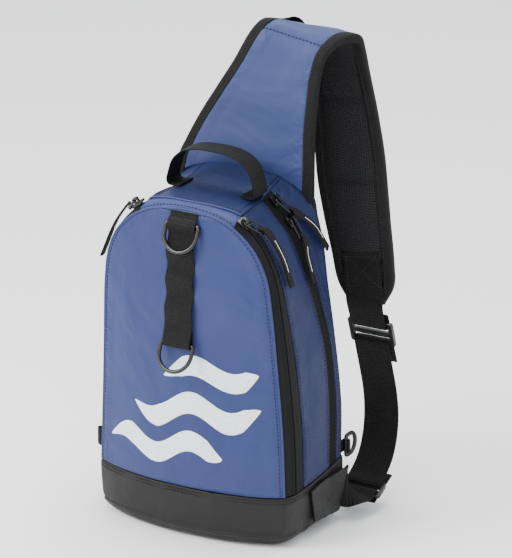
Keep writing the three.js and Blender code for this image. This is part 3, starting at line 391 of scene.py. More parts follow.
def make_creases_group():
    """Soft creases of coated cloth: broad, slightly ridged waves, with finer ones that gather at seams."""
    tree = bpy.data.node_groups.new("soft_creases", "ShaderNodeTree")
    group_socket(tree, "Vector", "NodeSocketVector", "INPUT")
    group_socket(tree, "Size", "NodeSocketFloat", "INPUT", 30.0)
    group_socket(tree, "Puckers", "NodeSocketFloat", "INPUT", 1.0)
    group_socket(tree, "Height", "NodeSocketFloat", "OUTPUT")
    source = put(tree, "NodeGroupInput")
    vector, size, puckers = (source.outputs[name] for name in ("Vector", "Size", "Puckers"))
    broad = put(tree, "ShaderNodeTexNoise", [("Vector", vector), ("Scale", size)],
                inputs={"Detail": 3.0, "Roughness": 0.45, "Distortion": 0.6})
    fine = put(tree, "ShaderNodeTexNoise",
               [("Vector", vector), ("Scale", maths(tree, "MULTIPLY", size, 5.0))],
               inputs={"Detail": 2.0, "Roughness": 0.5, "Distortion": 1.2})
    seam = put(tree, "ShaderNodeAttribute", attribute_name="seam")
    near = ranged(tree, seam.outputs["Fac"], 0.0, 0.016, 1.0, 0.0)
    gathered = maths(tree, "MULTIPLY", fine.outputs["Fac"], maths(tree, "MULTIPLY", near, puckers))
    small = maths(tree, "MULTIPLY", gathered, 0.35)
    put(tree, "NodeGroupOutput", [("Height", maths(tree, "ADD", broad.outputs["Fac"], small))])
    return tree


SOFT_CREASES = make_creases_group()


def make_weave_group():
    """Plain weave: threads that pass over and under each other, at a thread spacing in metres."""
    tree = bpy.data.node_groups.new("plain_weave", "ShaderNodeTree")
    group_socket(tree, "Vector", "NodeSocketVector", "INPUT")
    group_socket(tree, "Thread", "NodeSocketFloat", "INPUT", 0.0006)
    group_socket(tree, "Height", "NodeSocketFloat", "OUTPUT")
    source = put(tree, "NodeGroupInput")
    turns = maths(tree, "DIVIDE", math.pi, source.outputs["Thread"])
    scaled = put(tree, "ShaderNodeVectorMath", [(0, source.outputs["Vector"]), ("Scale", turns)],
                 operation="SCALE")
    parts = put(tree, "ShaderNodeSeparateXYZ", [(0, scaled.outputs[0])])
    product = maths(tree, "MULTIPLY", *(maths(tree, "SINE", parts.outputs[k]) for k in (0, 1)))
    put(tree, "NodeGroupOutput", [("Height", maths(tree, "MULTIPLY_ADD", product, 0.5, 0.5))])
    return tree


PLAIN_WEAVE = make_weave_group()


def creased(tree, place, size, depth):
    """The relief of soft creases, for another relief to lie over."""
    creases = put(tree, "ShaderNodeGroup", node_tree=SOFT_CREASES)
    tree.links.new(place.outputs["Object"], creases.inputs["Vector"])
    creases.inputs["Size"].default_value = size
    soft = put(tree, "ShaderNodeBump", [("Height", creases.outputs["Height"])],
               inputs={"Strength": 1.0, "Distance": depth})
    return soft.outputs["Normal"]


def coated_cloth(name, colour, shade, roughness, crease_size, crease_depth):
    """Coated nylon: colour mottled a little towards shade, satin, with soft creases and the weave just
    showing, and darkened within 4 mm of each seam as painted shade in the seam's groove."""
    material, tree, shader, place = start_material(name)
    soft = creased(tree, place, crease_size, crease_depth)
    weave = put(tree, "ShaderNodeGroup", node_tree=PLAIN_WEAVE)
    tree.links.new(place.outputs["UV"], weave.inputs["Vector"])
    weave.inputs["Thread"].default_value = 0.0007
    raised(tree, shader, weave.outputs["Height"], 0.12, 0.0002, soft)
    mottle = speckle(tree, place, 9.0, 4.0, 0.6)
    tint = put(tree, "ShaderNodeMix", [("Factor", mottle)], data_type="RGBA")
    tint.inputs["A"].default_value = (*colour, 1)
    tint.inputs["B"].default_value = (*shade, 1)
    # Painted shade: within 4 mm of a seam the colour darkens towards 0.45 of the shade colour.
    seam = put(tree, "ShaderNodeAttribute", attribute_name="seam")
    seam_shade_mask = ranged(tree, seam.outputs["Fac"], 0.0, 0.004, 0.82, 1.0)
    seam_shaded = put(tree, "ShaderNodeMix", [("Factor", seam_shade_mask), ("B", tint.outputs["Result"])], data_type="RGBA")
    seam_shaded.inputs["A"].default_value = (*(0.45 * c for c in shade), 1)
    tree.links.new(seam_shaded.outputs["Result"], shader.inputs["Base Color"])
    polish = ranged(tree, mottle, 0.3, 0.7, roughness - 0.05, roughness + 0.07)
    tree.links.new(polish, shader.inputs["Roughness"])
    shader.inputs["Specular IOR Level"].default_value = 0.24
    shader.inputs["Sheen Weight"].default_value = 0.02
    shader.inputs["Sheen Roughness"].default_value = 0.4
    return material


NAVY = coated_cloth("navy_cloth", (0.031, 0.045, 0.142), (0.022, 0.032, 0.114), 0.50, 14, 0.009)
# A darker copy of the navy cloth, for the side walls, the bands behind the main zipper and the top gusset:
# painted shade.
NAVY_PAINTED_SHADE = coated_cloth("navy_gusset_cloth", (0.0065, 0.015, 0.066), (0.0045, 0.010, 0.050), 0.55, 15,
                           0.007)


def ridge(distance, middle, width):
    """A bell-shaped ridge, one high: a roll, a welt or, taken away, a sunken row of stitches."""
    return np.exp(-(((distance - middle) / width) ** 2))


def seam_relief(distance, roll=0.9, stitch=3.2, depth=0.45):
    """Lift of a sewn edge: it rolls down within a millimetre of the seam and dips along its stitches."""
    fold = -roll * ridge(distance, 0, 1.1)
    return fold - depth * ridge(distance, stitch, 0.9)


def gentle_dents(points, scale, depth, seed):
    """Broad hand-made unevenness of a filled cloth wall, in millimetres."""
    flat = points.reshape(-1, 3) / scale + seed * 7.31
    return np.array([noise.noise(Vector(p)) for p in flat]).reshape(points.shape[:-1]) * depth


def edge_distance(points):
    """Distance of each grid point from the nearest of the grid's two long edges, in millimetres."""
    across = lengths_along(points, 1)
    return np.minimum(across, across[:, -1:] - across)


def close_spaced(low, high, step, finer=0.35):
    """Places from low to high, closer to each other near both ends."""
    count = max(int((high - low) / step), 4)
    t = np.linspace(0, 1, count + 1)
    return low + (high - low) * (t - finer * np.sin(2 * np.pi * t) / (2 * np.pi))


def panel_margin(station, side):
    """Distance of a point of the front panel from its nearest edge, in millimetres."""
    edge = seam_edge(0, station)
    top = SEAMS[0]([0.5])[0, 2]
    return np.minimum((1 - np.abs(side)) * np.abs(edge[..., 0]) * 1.04, top - edge[..., 2] + 0.2)


def panel_lift(station, side):
    """How the cloth of the front panel stands off its even form: rolled edges, the stitch groove and soft
    dents."""
    margin = panel_margin(station, side)
    lift = 0.9 + seam_relief(margin, roll=1.6, depth=0.5)
    dents = gentle_dents(front_points(station, side), 55, 2.6, 3)
    return lift + dents * np.clip(margin / 25, 0, 1)


def front_panel():
    stations = close_spaced(0.02, 8.8, 0.07, finer=0.2)
    sides = close_spaced(-0.998, 0.998, 0.024, finer=0.5)
    station, side = np.meshgrid(stations, sides, indexing="ij")
    outer = front_points(station, side, panel_lift(station, side))
    cloth_piece("front_panel_cloth", outer, CLOTH, NAVY, nodes=["front_panel"],
                seam_margin=panel_margin(station, side))


def plain_colour(name, colour, roughness, grain=900.0):
    """Thread, print or piping of one colour, with a fine uneven grain in its colour and relief."""
    material, tree, shader, place = start_material(name)
    mottle = speckle(tree, place, grain, 3.0)
    two_tone(tree, shader, mottle, colour, 0.8, 1.15)
    raised(tree, shader, mottle, 0.2, 0.0002)
    shader.inputs["Roughness"].default_value = roughness
    shader.inputs["Specular IOR Level"].default_value = 0.3
    return material


NAVY_THREAD = plain_colour("navy_thread", (0.0022, 0.004, 0.026), 0.6)
BLACK_THREAD = plain_colour("black_thread", (0.003, 0.003, 0.003), 0.6)


def make_stitch_tree():
    """Lock stitches along each line of a curve: a short rounded thread at every pitch."""
    tree = bpy.data.node_groups.new("lock_stitches", "GeometryNodeTree")
    group_socket(tree, "Geometry", "NodeSocketGeometry", "INPUT")
    group_socket(tree, "Pitch", "NodeSocketFloat", "INPUT", 0.0036)
    group_socket(tree, "Stitch", "NodeSocketFloat", "INPUT", 0.0027)
    group_socket(tree, "Thread", "NodeSocketFloat", "INPUT", 0.0006)
    group_socket(tree, "Material", "NodeSocketMaterial", "INPUT")
    group_socket(tree, "Geometry", "NodeSocketGeometry", "OUTPUT")
    given = put(tree, "NodeGroupInput")
    points = put(tree, "GeometryNodeCurveToPoints",
                 [("Curve", given.outputs["Geometry"]), ("Length", given.outputs["Pitch"])],
                 mode="LENGTH")
    ball = put(tree, "GeometryNodeMeshUVSphere", inputs={"Segments": 6, "Rings": 4, "Radius": 0.5})
    size = put(tree, "ShaderNodeCombineXYZ", [("X", given.outputs["Thread"]), ("Y", given.outputs["Thread"]),
                                              ("Z", given.outputs["Stitch"])])
    thread = put(tree, "GeometryNodeTransform",
                 [("Geometry", ball.outputs["Mesh"]), ("Scale", size.outputs[0])])
    laid = put(tree, "GeometryNodeInstanceOnPoints",
               [("Points", points.outputs["Points"]), ("Instance", thread.outputs["Geometry"]),
                                                      ("Rotation", points.outputs["Rotation"])])
    real = put(tree, "GeometryNodeRealizeInstances", [("Geometry", laid.outputs["Instances"])])
    smooth = put(tree, "GeometryNodeSetShadeSmooth", [("Geometry", real.outputs["Geometry"])])
    dyed = put(tree, "GeometryNodeSetMaterial",
               [("Geometry", smooth.outputs["Geometry"]), ("Material", given.outputs["Material"])])
    put(tree, "NodeGroupOutput", [("Geometry", dyed.outputs["Geometry"])])
    return tree


LOCK_STITCHES = make_stitch_tree()


def line_curve(name, lines):
    """A curve object through rows of points in the bag's millimetres."""
    data = bpy.data.curves.new(name, "CURVE")
    data.dimensions = "3D"
    for line in lines:
        spline = data.splines.new("POLY")
        spline.points.add(len(line) - 1)
        place = np.concatenate([(np.asarray(line) + BAG_ORIGIN) * MM, np.ones((len(line), 1))], axis=1)
        spline.points.foreach_set("co", place.astype(np.float32).ravel())
    thing = in_scene(name, data)
    return thing


def as_mesh(thing, name):
    """The finished mesh of a curve object with its modifiers, as a plain piece."""
    bpy.context.view_layer.update()
    graph = bpy.context.evaluated_depsgraph_get()
    mesh = bpy.data.meshes.new_from_object(thing.evaluated_get(graph), depsgraph=graph)
    mesh.name = name
    thing.modifiers.clear()
    bpy.data.objects.remove(thing)
    piece = in_scene(name, mesh)
    return piece


def stitch_rows(name, lines, thread_material, pitch=3.8, stitch=2.9, thread=1.0):
    """Rows of stitches along lines of points in the bag's millimetres, as one piece."""
    thing = line_curve(name + "_line", lines)
    modifier = thing.modifiers.new("stitches", "NODES")
    modifier.node_group = LOCK_STITCHES
    wanted = {"Pitch": pitch * MM, "Stitch": stitch * MM, "Thread": thread * MM, "Material": thread_material}
    for item in LOCK_STITCHES.interface.items_tree:
        if item.in_out == "INPUT" and item.name in wanted:
            modifier[item.identifier] = wanted[item.name]
    piece = as_mesh(thing, name)
    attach(piece, "bag")


def piping(name, line, radius, material):
    """A cord-filled edge: a thin round tube of cloth along a seam."""
    thing = line_curve(name + "_line", [line])
    thing.data.bevel_depth = radius * MM
    thing.data.bevel_resolution = 2
    thing.data.use_fill_caps = True
    piece = as_mesh(thing, name)
    piece.data.materials.clear()
    piece.data.materials.append(material)
    piece.data.shade_smooth()
    mark_seam(piece.data, np.ones(len(piece.data.vertices)))
    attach(piece, "bag")


PANEL_STITCH_INSET = 3.2


def panel_stitch_line():
    """Up the right edge of the panel, over its top and down the left, at the stitches' inset."""
    stations = np.linspace(0.05, 8.55, 260)
    half = np.abs(SEAMS[0](stations / LAST_STATION)[:, 0]) * 1.04
    side = 1 - PANEL_STITCH_INSET / half
    keep = panel_margin(stations, side) > PANEL_STITCH_INSET - 0.1
    stations, side = stations[keep], side[keep]
    across = np.linspace(side[-1], -side[-1], 60)[1:-1]
    stations = np.concatenate([stations, np.full_like(across, stations[-1]), stations[::-1]])
    side = np.concatenate([side, across, -side[::-1]])
    return front_points(stations, side, panel_lift(stations, side) + 0.15)


front_panel()
stitch_rows("front_panel_stitches", [panel_stitch_line()], NAVY_THREAD)
rim = np.linspace(0.02, LAST_STATION - 0.02, 420) / LAST_STATION
piping("front_panel_piping", SEAMS[0](rim) + (0, 0.1, 0) - outwards(0, rim) * 0.2, 1.25, NAVY)


# The water waves printed on the front.
# Three bands of white ink, screen printed on the lower part of the front panel and a hair thicker than its
# cloth.

WAVE_INK = plain_colour("white_print_ink", (0.80, 0.86, 0.93), 0.5, grain=300.0)
INK_THICKNESS = 0.1
# Each wave: left end, right end, middle height, swing, wave length and thickness, in millimetres.
WAVES = [(-84, 46, 88, 8, 74, 21), (-52, 82, 128, 9, 82, 22), (-18, 80, 168, 8, 88, 20)]


def print_wave(name, left, right, height, swing, length, thick):
    x = np.linspace(left, right, 150)
    shares = np.linspace(-1, 1, 15)
    t = (x - left) / (right - left)
    half = thick / 2 * np.clip(np.minimum(t / 0.22, (1 - t) / 0.12), 0, 1) ** 0.75 + 0.05
    middle = height + swing * np.sin(2 * np.pi * x / length + 0.6) + 8 * t
    across, up = x[None, :] + 0 * shares[:, None], middle[None, :] + half[None, :] * shares[:, None]
    rise = np.linspace(0, 8.9, 400)
    station = np.interp(up, SEAMS[0](rise / LAST_STATION)[:, 2], rise)
    side = across / SEAMS[0](station.ravel() / LAST_STATION)[:, 0].reshape(station.shape)
    outer = front_points(station, side, panel_lift(station, side) + 0.18)
    cloth_piece(name, outer, INK_THICKNESS, WAVE_INK)


for number, wave in enumerate(WAVES):
    print_wave(f"front_wave_print_{number + 1}", *wave)


# The side walls, the bands behind the main zipper, and the top.
# Single layers of the same cloth, sewn to the zippers with two rows of stitches and to each other beside
# the handle. The side walls, the bands and the top gusset take a darker copy of the navy cloth: painted
# shade.

STITCH_INSET, SECOND_INSET = 3.2, 6.6


def wall_lift(bare, margin, dents, seed, seam_depth, double):
    lift = seam_relief(margin, depth=seam_depth)
    if double:
        lift = lift - seam_depth * ridge(margin, SECOND_INSET, 0.9)
    return lift + gentle_dents(bare, 38, dents, seed) * np.clip(margin / 12, 0, 1)


def end_relief(points, ends):
    """The rolled and stitched ends of a wall, beside the handle: a narrow raised strip between two
    grooves."""
    along = lengths_along(points, 0)
    lift = 0
    for end in ends:
        distance = along if end == "first" else along[-1:] - along
        lift = lift - 0.6 * ridge(distance, 0, 0.8) + 0.5 * ridge(distance, 2.2, 1.4)
        lift = lift - 0.5 * ridge(distance, 4.4, 0.8)
    return lift


def sewn_wall(name, stations, acrosses, material, nodes, dents=1.6, seed=0, seam_depth=0.45,
              double=False, ends=()):
    station, across = np.meshgrid(stations, acrosses, indexing="ij")
    bare = wall_points(station, across)
    margin = edge_distance(bare)
    lift = wall_lift(bare, margin, dents, seed, seam_depth, double) + end_relief(bare, ends)
    outer = wall_points(station, across, lift)
    cloth_piece(name, outer, CLOTH, material, nodes=nodes, seam_margin=margin)


def wall_row(stations, first, last, inset, dents, seed, seam_depth=0.45, double=False):
    """A line on a wall at an inset from its front seam, or from its back one where the inset is negative."""
    acrosses = np.linspace(first, last, 90)
    station, across = np.meshgrid(stations, acrosses, indexing="ij")
    lengths = lengths_along(wall_points(station, across), 1)
    target = lengths[:, -1] + inset if inset < 0 else np.full(len(lengths), inset)
    place = np.array([np.interp(t, row, acrosses) for t, row in zip(target, lengths)])
    bare = wall_points(stations, place)
    lift = wall_lift(bare, np.full(len(stations), abs(inset)), dents, seed, seam_depth, double)
    return wall_points(stations, place, lift + 0.18)


SIDE = close_spaced(0.02, 7.02, 0.045, finer=0.1)
GUSSET_ACROSS = close_spaced(1.01, 1.99, 0.045)
STRIP_ACROSS = close_spaced(3.01, 3.99, 0.09)
for side, flip in (("right", False), ("left", True)):
    stations = LAST_STATION - SIDE[::-1] if flip else SIDE
    top_end = ["first" if flip else "last"]
    # The side walls and the bands take the darker copy of the navy cloth, painted shade.
    sewn_wall(f"side_gusset_cloth_{side}", stations, GUSSET_ACROSS, NAVY_PAINTED_SHADE,
              [f"side_gusset_{side}"], dents=2.6, seed=5 + flip, double=True, ends=top_end)
    sewn_wall(f"rear_strip_cloth_{side}", stations, STRIP_ACROSS, NAVY_PAINTED_SHADE,
              [f"rear_strip_{side}"], dents=0.8, seed=9 + flip)
    up = np.linspace(stations[3], stations[-4], 240)
    rows = [wall_row(up, 1.01, 1.99, inset, 2.6, 5 + flip, double=True)
            for inset in (STITCH_INSET, -STITCH_INSET, -SECOND_INSET)]
    rows += [wall_row(up, 3.01, 3.99, inset, 0.8, 9 + flip) for inset in (STITCH_INSET, -STITCH_INSET)]
    stitch_rows(f"side_stitches_{side}", rows, NAVY_THREAD)
OVER_TOP = close_spaced(6.99, 11.01, 0.05, finer=0.2)
TOP_ACROSS = close_spaced(1.01, 3.99, 0.05, finer=0.1)
sewn_wall("pocket_top_cloth", OVER_TOP, close_spaced(0.01, 0.99, 0.06), NAVY, ["pocket_top"],
          dents=0.8, seed=11)
# The top gusset takes the darker copy of the navy cloth, painted shade.
sewn_wall("top_gusset_cloth", OVER_TOP, TOP_ACROSS, NAVY_PAINTED_SHADE, ["top_gusset"],
          dents=2.2, seed=12,
          ends=["first", "last"])
over = np.linspace(7.05, 10.95, 160)
fold = SEAMS[1](over / LAST_STATION) + outwards(1, over / LAST_STATION) * 1.1
piping("hood_fold_piping", fold + (0, -0.8, 0), 1.2, NAVY)
top_rows = [wall_row(over, 1.01, 3.99, 4.4, 2.2, 12), wall_row(over, 0.01, 0.99, 3.2, 0.8, 11)]
for low, high in ((7.02, 7.4), (10.6, 10.98)):
    places = np.linspace(low, high, 40)
    station, across = np.meshgrid(places, np.linspace(1.15, 3.9, 60), indexing="ij")
    bare = wall_points(station, across)
    along = lengths_along(bare, 0)
    distance = along if low < TOP_CENTRE else along[-1:] - along
    for inset in (0.9, 4.4):
        at = [np.interp(inset, column if low < TOP_CENTRE else column[::-1],
                        places if low < TOP_CENTRE else places[::-1])
              for column in distance.T]
        at = np.array(at)
        line = wall_points(at, across[0])
        lift = wall_lift(line, np.full(len(at), 12.0), 2.2, 12, 0.45, False)
        top_rows.append(wall_points(at, across[0],
                                    lift * np.clip(np.minimum(np.arange(60), np.arange(60)[::-1]) / 8, 0, 1)
                                    + 0.1))
stitch_rows("top_stitches", top_rows, NAVY_THREAD)


# The padded back.
# Black spacer mesh over thin foam, sewn in round its edge. It lies on the wearer's back.


def mesh_cloth(name, colour, cell):
    """Spacer mesh: small open cells in staggered rows, matt black, coloured darker inside the cells as
    painted shade and lighter on the threads between them as painted light."""
    material, tree, shader, place = start_material(name)
    cells = put(tree, "ShaderNodeTexVoronoi", [("Vector", place.outputs["UV"])], voronoi_dimensions="2D",
                inputs={"Scale": 1 / cell, "Randomness": 0.12})
    hole = ranged(tree, cells.outputs["Distance"], 0.28, 0.5)
    # Painted shade and light: darker in the open cells, lighter on the threads between them.
    two_tone(tree, shader, hole, colour, 0.35, 1.9)
    raised(tree, shader, hole, 0.9, 0.0006)
    shader.inputs["Roughness"].default_value = 0.75
    shader.inputs["Specular IOR Level"].default_value = 0.2
    shader.inputs["Sheen Weight"].default_value = 0.02
    return material


BLACK_MESH = mesh_cloth("black_spacer_mesh", (0.009, 0.009, 0.010), 0.0026)
BACK_PAD_THICKNESS = 4.2


def back_panel():
    stations = close_spaced(0.02, 8.8, 0.08, finer=0.2)
    sides = close_spaced(-0.998, 0.998, 0.03, finer=0.4)
    station, side = np.meshgrid(stations, sides, indexing="ij")
    bare = back_points(station, side)
    top = SEAMS[4]([0.5])[0, 2]
    margin = np.minimum(edge_distance(bare), top - bare[..., 2] + 0.2)
    quilt = 2.2 * np.minimum(np.abs(np.sin(bare[..., 0] / 34 * np.pi / 2)), 1) ** 0.35 - 1.6
    lift = quilt * np.clip(margin / 22, 0, 1) - 2.5 * ridge(margin, 0, 3)
    outer = back_points(station, side, lift)
    piece = cloth_piece("back_pad_mesh", outer, BACK_PAD_THICKNESS, BLACK_MESH, facing=-1,
                        nodes=["back_panel"], seam_margin=margin)


back_panel()


# The zippers.
# Each is a pair of woven tapes that meet over a nylon coil, sewn between two walls. The front one runs down
# both sides of the pocket, and the rear one down both sides of the main compartment.


def ribbed_cloth(name, colour, rib, relief):
    """Webbing, grosgrain or tape: ribs across its length at the given spacing, crossed by finer threads
    along it."""
    material, tree, shader, place = start_material(name)
    parts = put(tree, "ShaderNodeSeparateXYZ", [(0, place.outputs["UV"])])
    wave = maths(tree, "SINE", maths(tree, "MULTIPLY", parts.outputs[1], 2 * math.pi / rib))
    cross = maths(tree, "SINE", maths(tree, "MULTIPLY", parts.outputs[0], 2 * math.pi / (rib * 0.9)))
    height = maths(tree, "MULTIPLY_ADD", maths(tree, "MULTIPLY", wave, cross), 0.8, wave)
    raised(tree, shader, height, 1.0, relief)
    # Partly painted shade and light: the colour is darker in the grooves between ribs and lighter on the
    # ribs, and otherwise mottled at random.
    light = maths(tree, "MULTIPLY_ADD", height, 0.22, speckle(tree, place, 140.0, 3.0))
    two_tone(tree, shader, ranged(tree, light, 0.15, 0.9), colour, 0.6, 1.6)
    shader.inputs["Roughness"].default_value = 0.72
    shader.inputs["Specular IOR Level"].default_value = 0.2
    return material


ZIP_TAPE = ribbed_cloth("zipper_tape", (0.0030, 0.0034, 0.0032), 0.0011, 0.00012)
FROM_SLIT = (0.0, 0.22, 0.45, 0.75, 1.2, 1.9, 2.6, 3.4)
TAPE_UNDER_SEAM = 2.4
TAPE_THICKNESS = 1.0


def tape(name, stations, first, last, node):
    """A zipper's two tapes, which meet over the coil in a closed slit: each rises to the slit and drops
    in."""
    ends = wall_points(stations, first + 0.01), wall_points(stations, last - 0.01)
    half = np.linalg.norm(ends[1] - ends[0], axis=1) / 2
    near = np.array(FROM_SLIT)
    outer_part = np.linspace(0, 1, 9)[1:]
    steps = [near[None, :] + 0 * half[:, None], near[-1] + (half[:, None] - near[-1]) * outer_part[None, :]]
    from_middle = np.concatenate(steps, axis=1)
    signed = np.concatenate([-from_middle[:, :0:-1], from_middle], axis=1)
    share = np.clip(signed / half[:, None], -1, 1)
    across = (first + last) / 2 + share * ((last - first) / 2 - 0.01)
    under = TAPE_UNDER_SEAM / (2 * half[:, None])
    across = np.concatenate([np.maximum(across[:, :1] - under, 0.001), across, across[:, -1:] + under],
                            axis=1)
    signed = np.concatenate([signed[:, :1], signed, signed[:, -1:]], axis=1)
    station = stations[:, None] + 0 * across
    bare = wall_points(station, across)
    margin = np.minimum(half[:, None] - np.abs(signed), 50)
    distance = np.abs(signed)
    lift = -1.2 + 0.7 * np.clip(margin / 4, 0, 1) + 0.9 * ridge(distance, 1.6, 1.5)
    lift = lift - 1.9 * ridge(distance, 0, 0.4) - 0.3 * ridge(distance, 4.6, 0.5)
    lift[:, [0, -1]] -= 0.5
    cloth_piece(name, wall_points(station, across, lift), TAPE_THICKNESS, ZIP_TAPE, nodes=[node],
                       seam_margin=np.clip(margin, 0, None))


for side, flip in (("right", False), ("left", True)):
    stations = LAST_STATION - SIDE[::-1] if flip else SIDE
    tape(f"front_zipper_cloth_{side}", stations, 0, 1, f"front_zipper_tape_{side}")
    tape(f"rear_zipper_cloth_{side}", stations, 2, 3, f"rear_zipper_tape_{side}")


# The base.
# A boot of thick black cloth with a leather-like coating, folded round the bottom of the bag and sewn on
# along its top edge with two rows of stitches. Its front and rear walls meet at upright welts on both sides.

BASE_CLOTH_THICKNESS = 2.4
AWAY_FROM_SEAMS = 0.05
BASE_LEVELS = [(1.0, 1.0, 1.0, 1.0), (0.55, 1.0, 1.0, 0.995), (0.25, 0.975, 0.97, 0.94),
               (0.08, 0.92, 0.9, 0.8),
               (0.0, 0.83, 0.76, 0.62)]


def leather_cloth(name, colour):
    material, tree, shader, place = start_material(name)
    grain = put(tree, "ShaderNodeTexVoronoi", [("Vector", place.outputs["Object"])], inputs={"Scale": 900.0})
    raised(tree, shader, grain.outputs["Distance"], 0.35, 0.0003, creased(tree, place, 22, 0.004))
    mottle = speckle(tree, place, 35.0, 5.0)
    two_tone(tree, shader, mottle, colour, 0.8, 1.25)
    tree.links.new(ranged(tree, mottle, 0.3, 0.7, 0.5, 0.62), shader.inputs["Roughness"])
    shader.inputs["Specular IOR Level"].default_value = 0.3
    return material


BASE_CLOTH = leather_cloth("black_base_cloth", (0.0080, 0.0074, 0.0064))


def base_outline():
    sides = np.linspace(-1, 1, 73)
    across = np.linspace(0, 4, 61)[1:-1]
    zero = np.zeros_like
    front = front_points(zero(sides), sides)
    right = wall_points(zero(across), across)
    rear = back_points(zero(sides), -sides)
    left = wall_points(zero(across) + LAST_STATION, across[::-1])
    return np.vstack([front, right, rear, left])


def base_lift(line, below_rim):
    """The boot's own relief: a rolled top edge, two stitch grooves, the upright welts and a crease low on
    the front."""
    lift = 0.9 + seam_relief(below_rim, roll=0.7, stitch=2.4, depth=0.4) - 0.4 * ridge(below_rim, 5.4, 0.9)
    welt = 1.1 * ridge(line[:, 1], 8, 2.0) * (np.abs(line[:, 0]) > 95) * np.clip(below_rim / 8, 0, 1)
    crease = 1.0 * ridge(below_rim, 41, 1.6) - 0.8 * ridge(below_rim, 38, 1.2)
    return lift + welt + crease * (line[:, 1] < -20)


def base_out(line):
    tangent = np.roll(line, -1, axis=0) - np.roll(line, 1, axis=0)
    out = np.stack([tangent[:, 1], -tangent[:, 0], 0 * tangent[:, 0]], axis=1)
    return out / np.linalg.norm(out, axis=1)[:, None]


def base_row(below_rim):
    """A line of stitches round the boot, at a distance below its top edge."""
    line = base_outline()
    below = np.full(len(line), float(below_rim))
    row = line + base_out(line) * (base_lift(line, below) + 0.15)[:, None]
    row[:, 2] = line[:, 2] - 0.2 - below_rim
    return np.vstack([row, row[:1]])


def base_boot():
    line = base_outline()
    out = base_out(line)
    profile = smooth_line(BASE_LEVELS)
    levels = profile(np.concatenate([np.linspace(0, 0.06, 16), np.linspace(0.065, 0.36, 46),
                                     np.linspace(0.38, 1, 24)]))
    rings = []
    for up, wide, front, rear in levels:
        height = (line[:, 2] - 0.2) * max(up, 0)
        below_rim = line[:, 2] - 0.2 - height
        ring = line + out * base_lift(line, below_rim)[:, None]
        depth = np.where(ring[:, 1] < 0, front, rear)
        rings.append(np.stack([ring[:, 0] * wide, ring[:, 1] * depth, height], axis=1))
    outer = np.array(rings[::-1])
    dents = gentle_dents(outer, 30, 1.4, 21) * np.clip(outer[..., 2:3] / 12, 0, 1)[..., 0]
    outer[..., :2] += (out[None, :, :2] * dents[..., None])
    inner = outer.copy()
    inner[..., :2] -= out[None, :, :2] * BASE_CLOTH_THICKNESS
    inner[..., 2] = np.maximum(inner[..., 2], BASE_CLOTH_THICKNESS)
    shells = [outer, inner[::-1]]
    stack = np.concatenate(shells)
    rows, count = stack.shape[:2]
    index = np.arange(rows * count).reshape(rows, count)
    following = np.roll(index, -1, axis=1)
    faces = np.stack([index[:-1], following[:-1], following[1:], index[1:]], axis=-1).reshape(-1, 4).tolist()
    points = (stack.reshape(-1, 3) + BAG_ORIGIN) * MM
    mesh = bpy.data.meshes.new("base_boot")
    faces += [index[0][::-1].tolist(), index[-1].tolist()]
    mesh.from_pydata(points.tolist(), [], faces)
    mark_seam(mesh, np.full(rows * count, AWAY_FROM_SEAMS))
    mesh.shade_smooth()
    mesh.materials.append(BASE_CLOTH)
    piece = in_scene("base_boot", mesh)
    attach(piece, "bag")
    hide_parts("base")


base_boot()
stitch_rows("base_edge_stitches", [base_row(2.4), base_row(5.4)], BLACK_THREAD)


# The shoulder strap.
# Foam between navy cloth on the outside and black spacer mesh on the inside, with a grosgrain binding sewn
# round its edge. It rises from the bag's shoulders, folds over the wearer's shoulder and ends round at the
# adjuster.

STRAP_TOP, STRAP_PAD, STRAP_BINDING_WIDTH = 479, 6, 10
ROOT_TUCK = 2.0
NEAR = 1e-3
FOLD_ROW = 5.35 / 16
# Rows from the root to the end: out of the half width, back of the depth and up of the top, for the left
# and right edge.
STRAP_ROWS = [
    (-0.71, 0.49, 0.664, 0.71, 0.49, 0.664), (-0.636, 0.477, 0.72, 0.715, 0.485, 0.722),
    (-0.453, 0.492, 0.802, 0.706, 0.508, 0.802), (-0.299, 0.515, 0.86, 0.71, 0.538, 0.856),
    (-0.15, 0.553, 0.917, 0.71, 0.583, 0.908), (0, 0.606, 0.983, 0.738, 0.644, 0.95),
    (0.056, 0.667, 0.998, 0.822, 0.75, 0.975), (0.15, 0.773, 0.99, 0.907, 0.886, 0.973),
    (0.224, 0.856, 0.985, 0.916, 0.939, 0.944), (0.299, 0.894, 0.946, 0.944, 0.97, 0.898),
    (0.393, 0.886, 0.866, 1.019, 0.97, 0.831), (0.467, 0.856, 0.766, 1.121, 0.939, 0.741),
    (0.519, 0.833, 0.678, 1.178, 0.909, 0.67), (0.589, 0.818, 0.612, 1.224, 0.886, 0.603),
    (0.673, 0.826, 0.532, 1.262, 0.886, 0.524), (0.738, 0.833, 0.468, 1.262, 0.894, 0.468),
    (0.841, 0.845, 0.428, 1.178, 0.886, 0.428),
]
STRAP_SCALE = np.array((BODY_HALF_WIDTH, BODY_DEPTH, STRAP_TOP))
strap_left = smooth_line([np.array(row[:3]) * STRAP_SCALE for row in STRAP_ROWS])
strap_right = smooth_line([np.array(row[3:]) * STRAP_SCALE for row in STRAP_ROWS])


def unit(v):
    return v / np.linalg.norm(v, axis=-1)[..., None]


def shoulder_height(x):
    """Height of the bag's back seam at x, where the strap's root is sewn on."""
    share = np.linspace(0, 0.5, 400)
    seam = SEAMS[4](share)
    return np.interp(-np.abs(x), -seam[:, 0], seam[:, 2])


def strap_directions(u):
    """The strap's edges at shares of its length, with the direction across it and the one out of it."""
    left, right = strap_left(u), strap_right(u)
    ahead = (strap_left(u + NEAR) + strap_right(u + NEAR)) / 2
    behind = (strap_left(u - NEAR) + strap_right(u - NEAR)) / 2
    wide = unit(right - left)
    return left, right, wide, unit(np.cross(wide, unit(ahead - behind)))


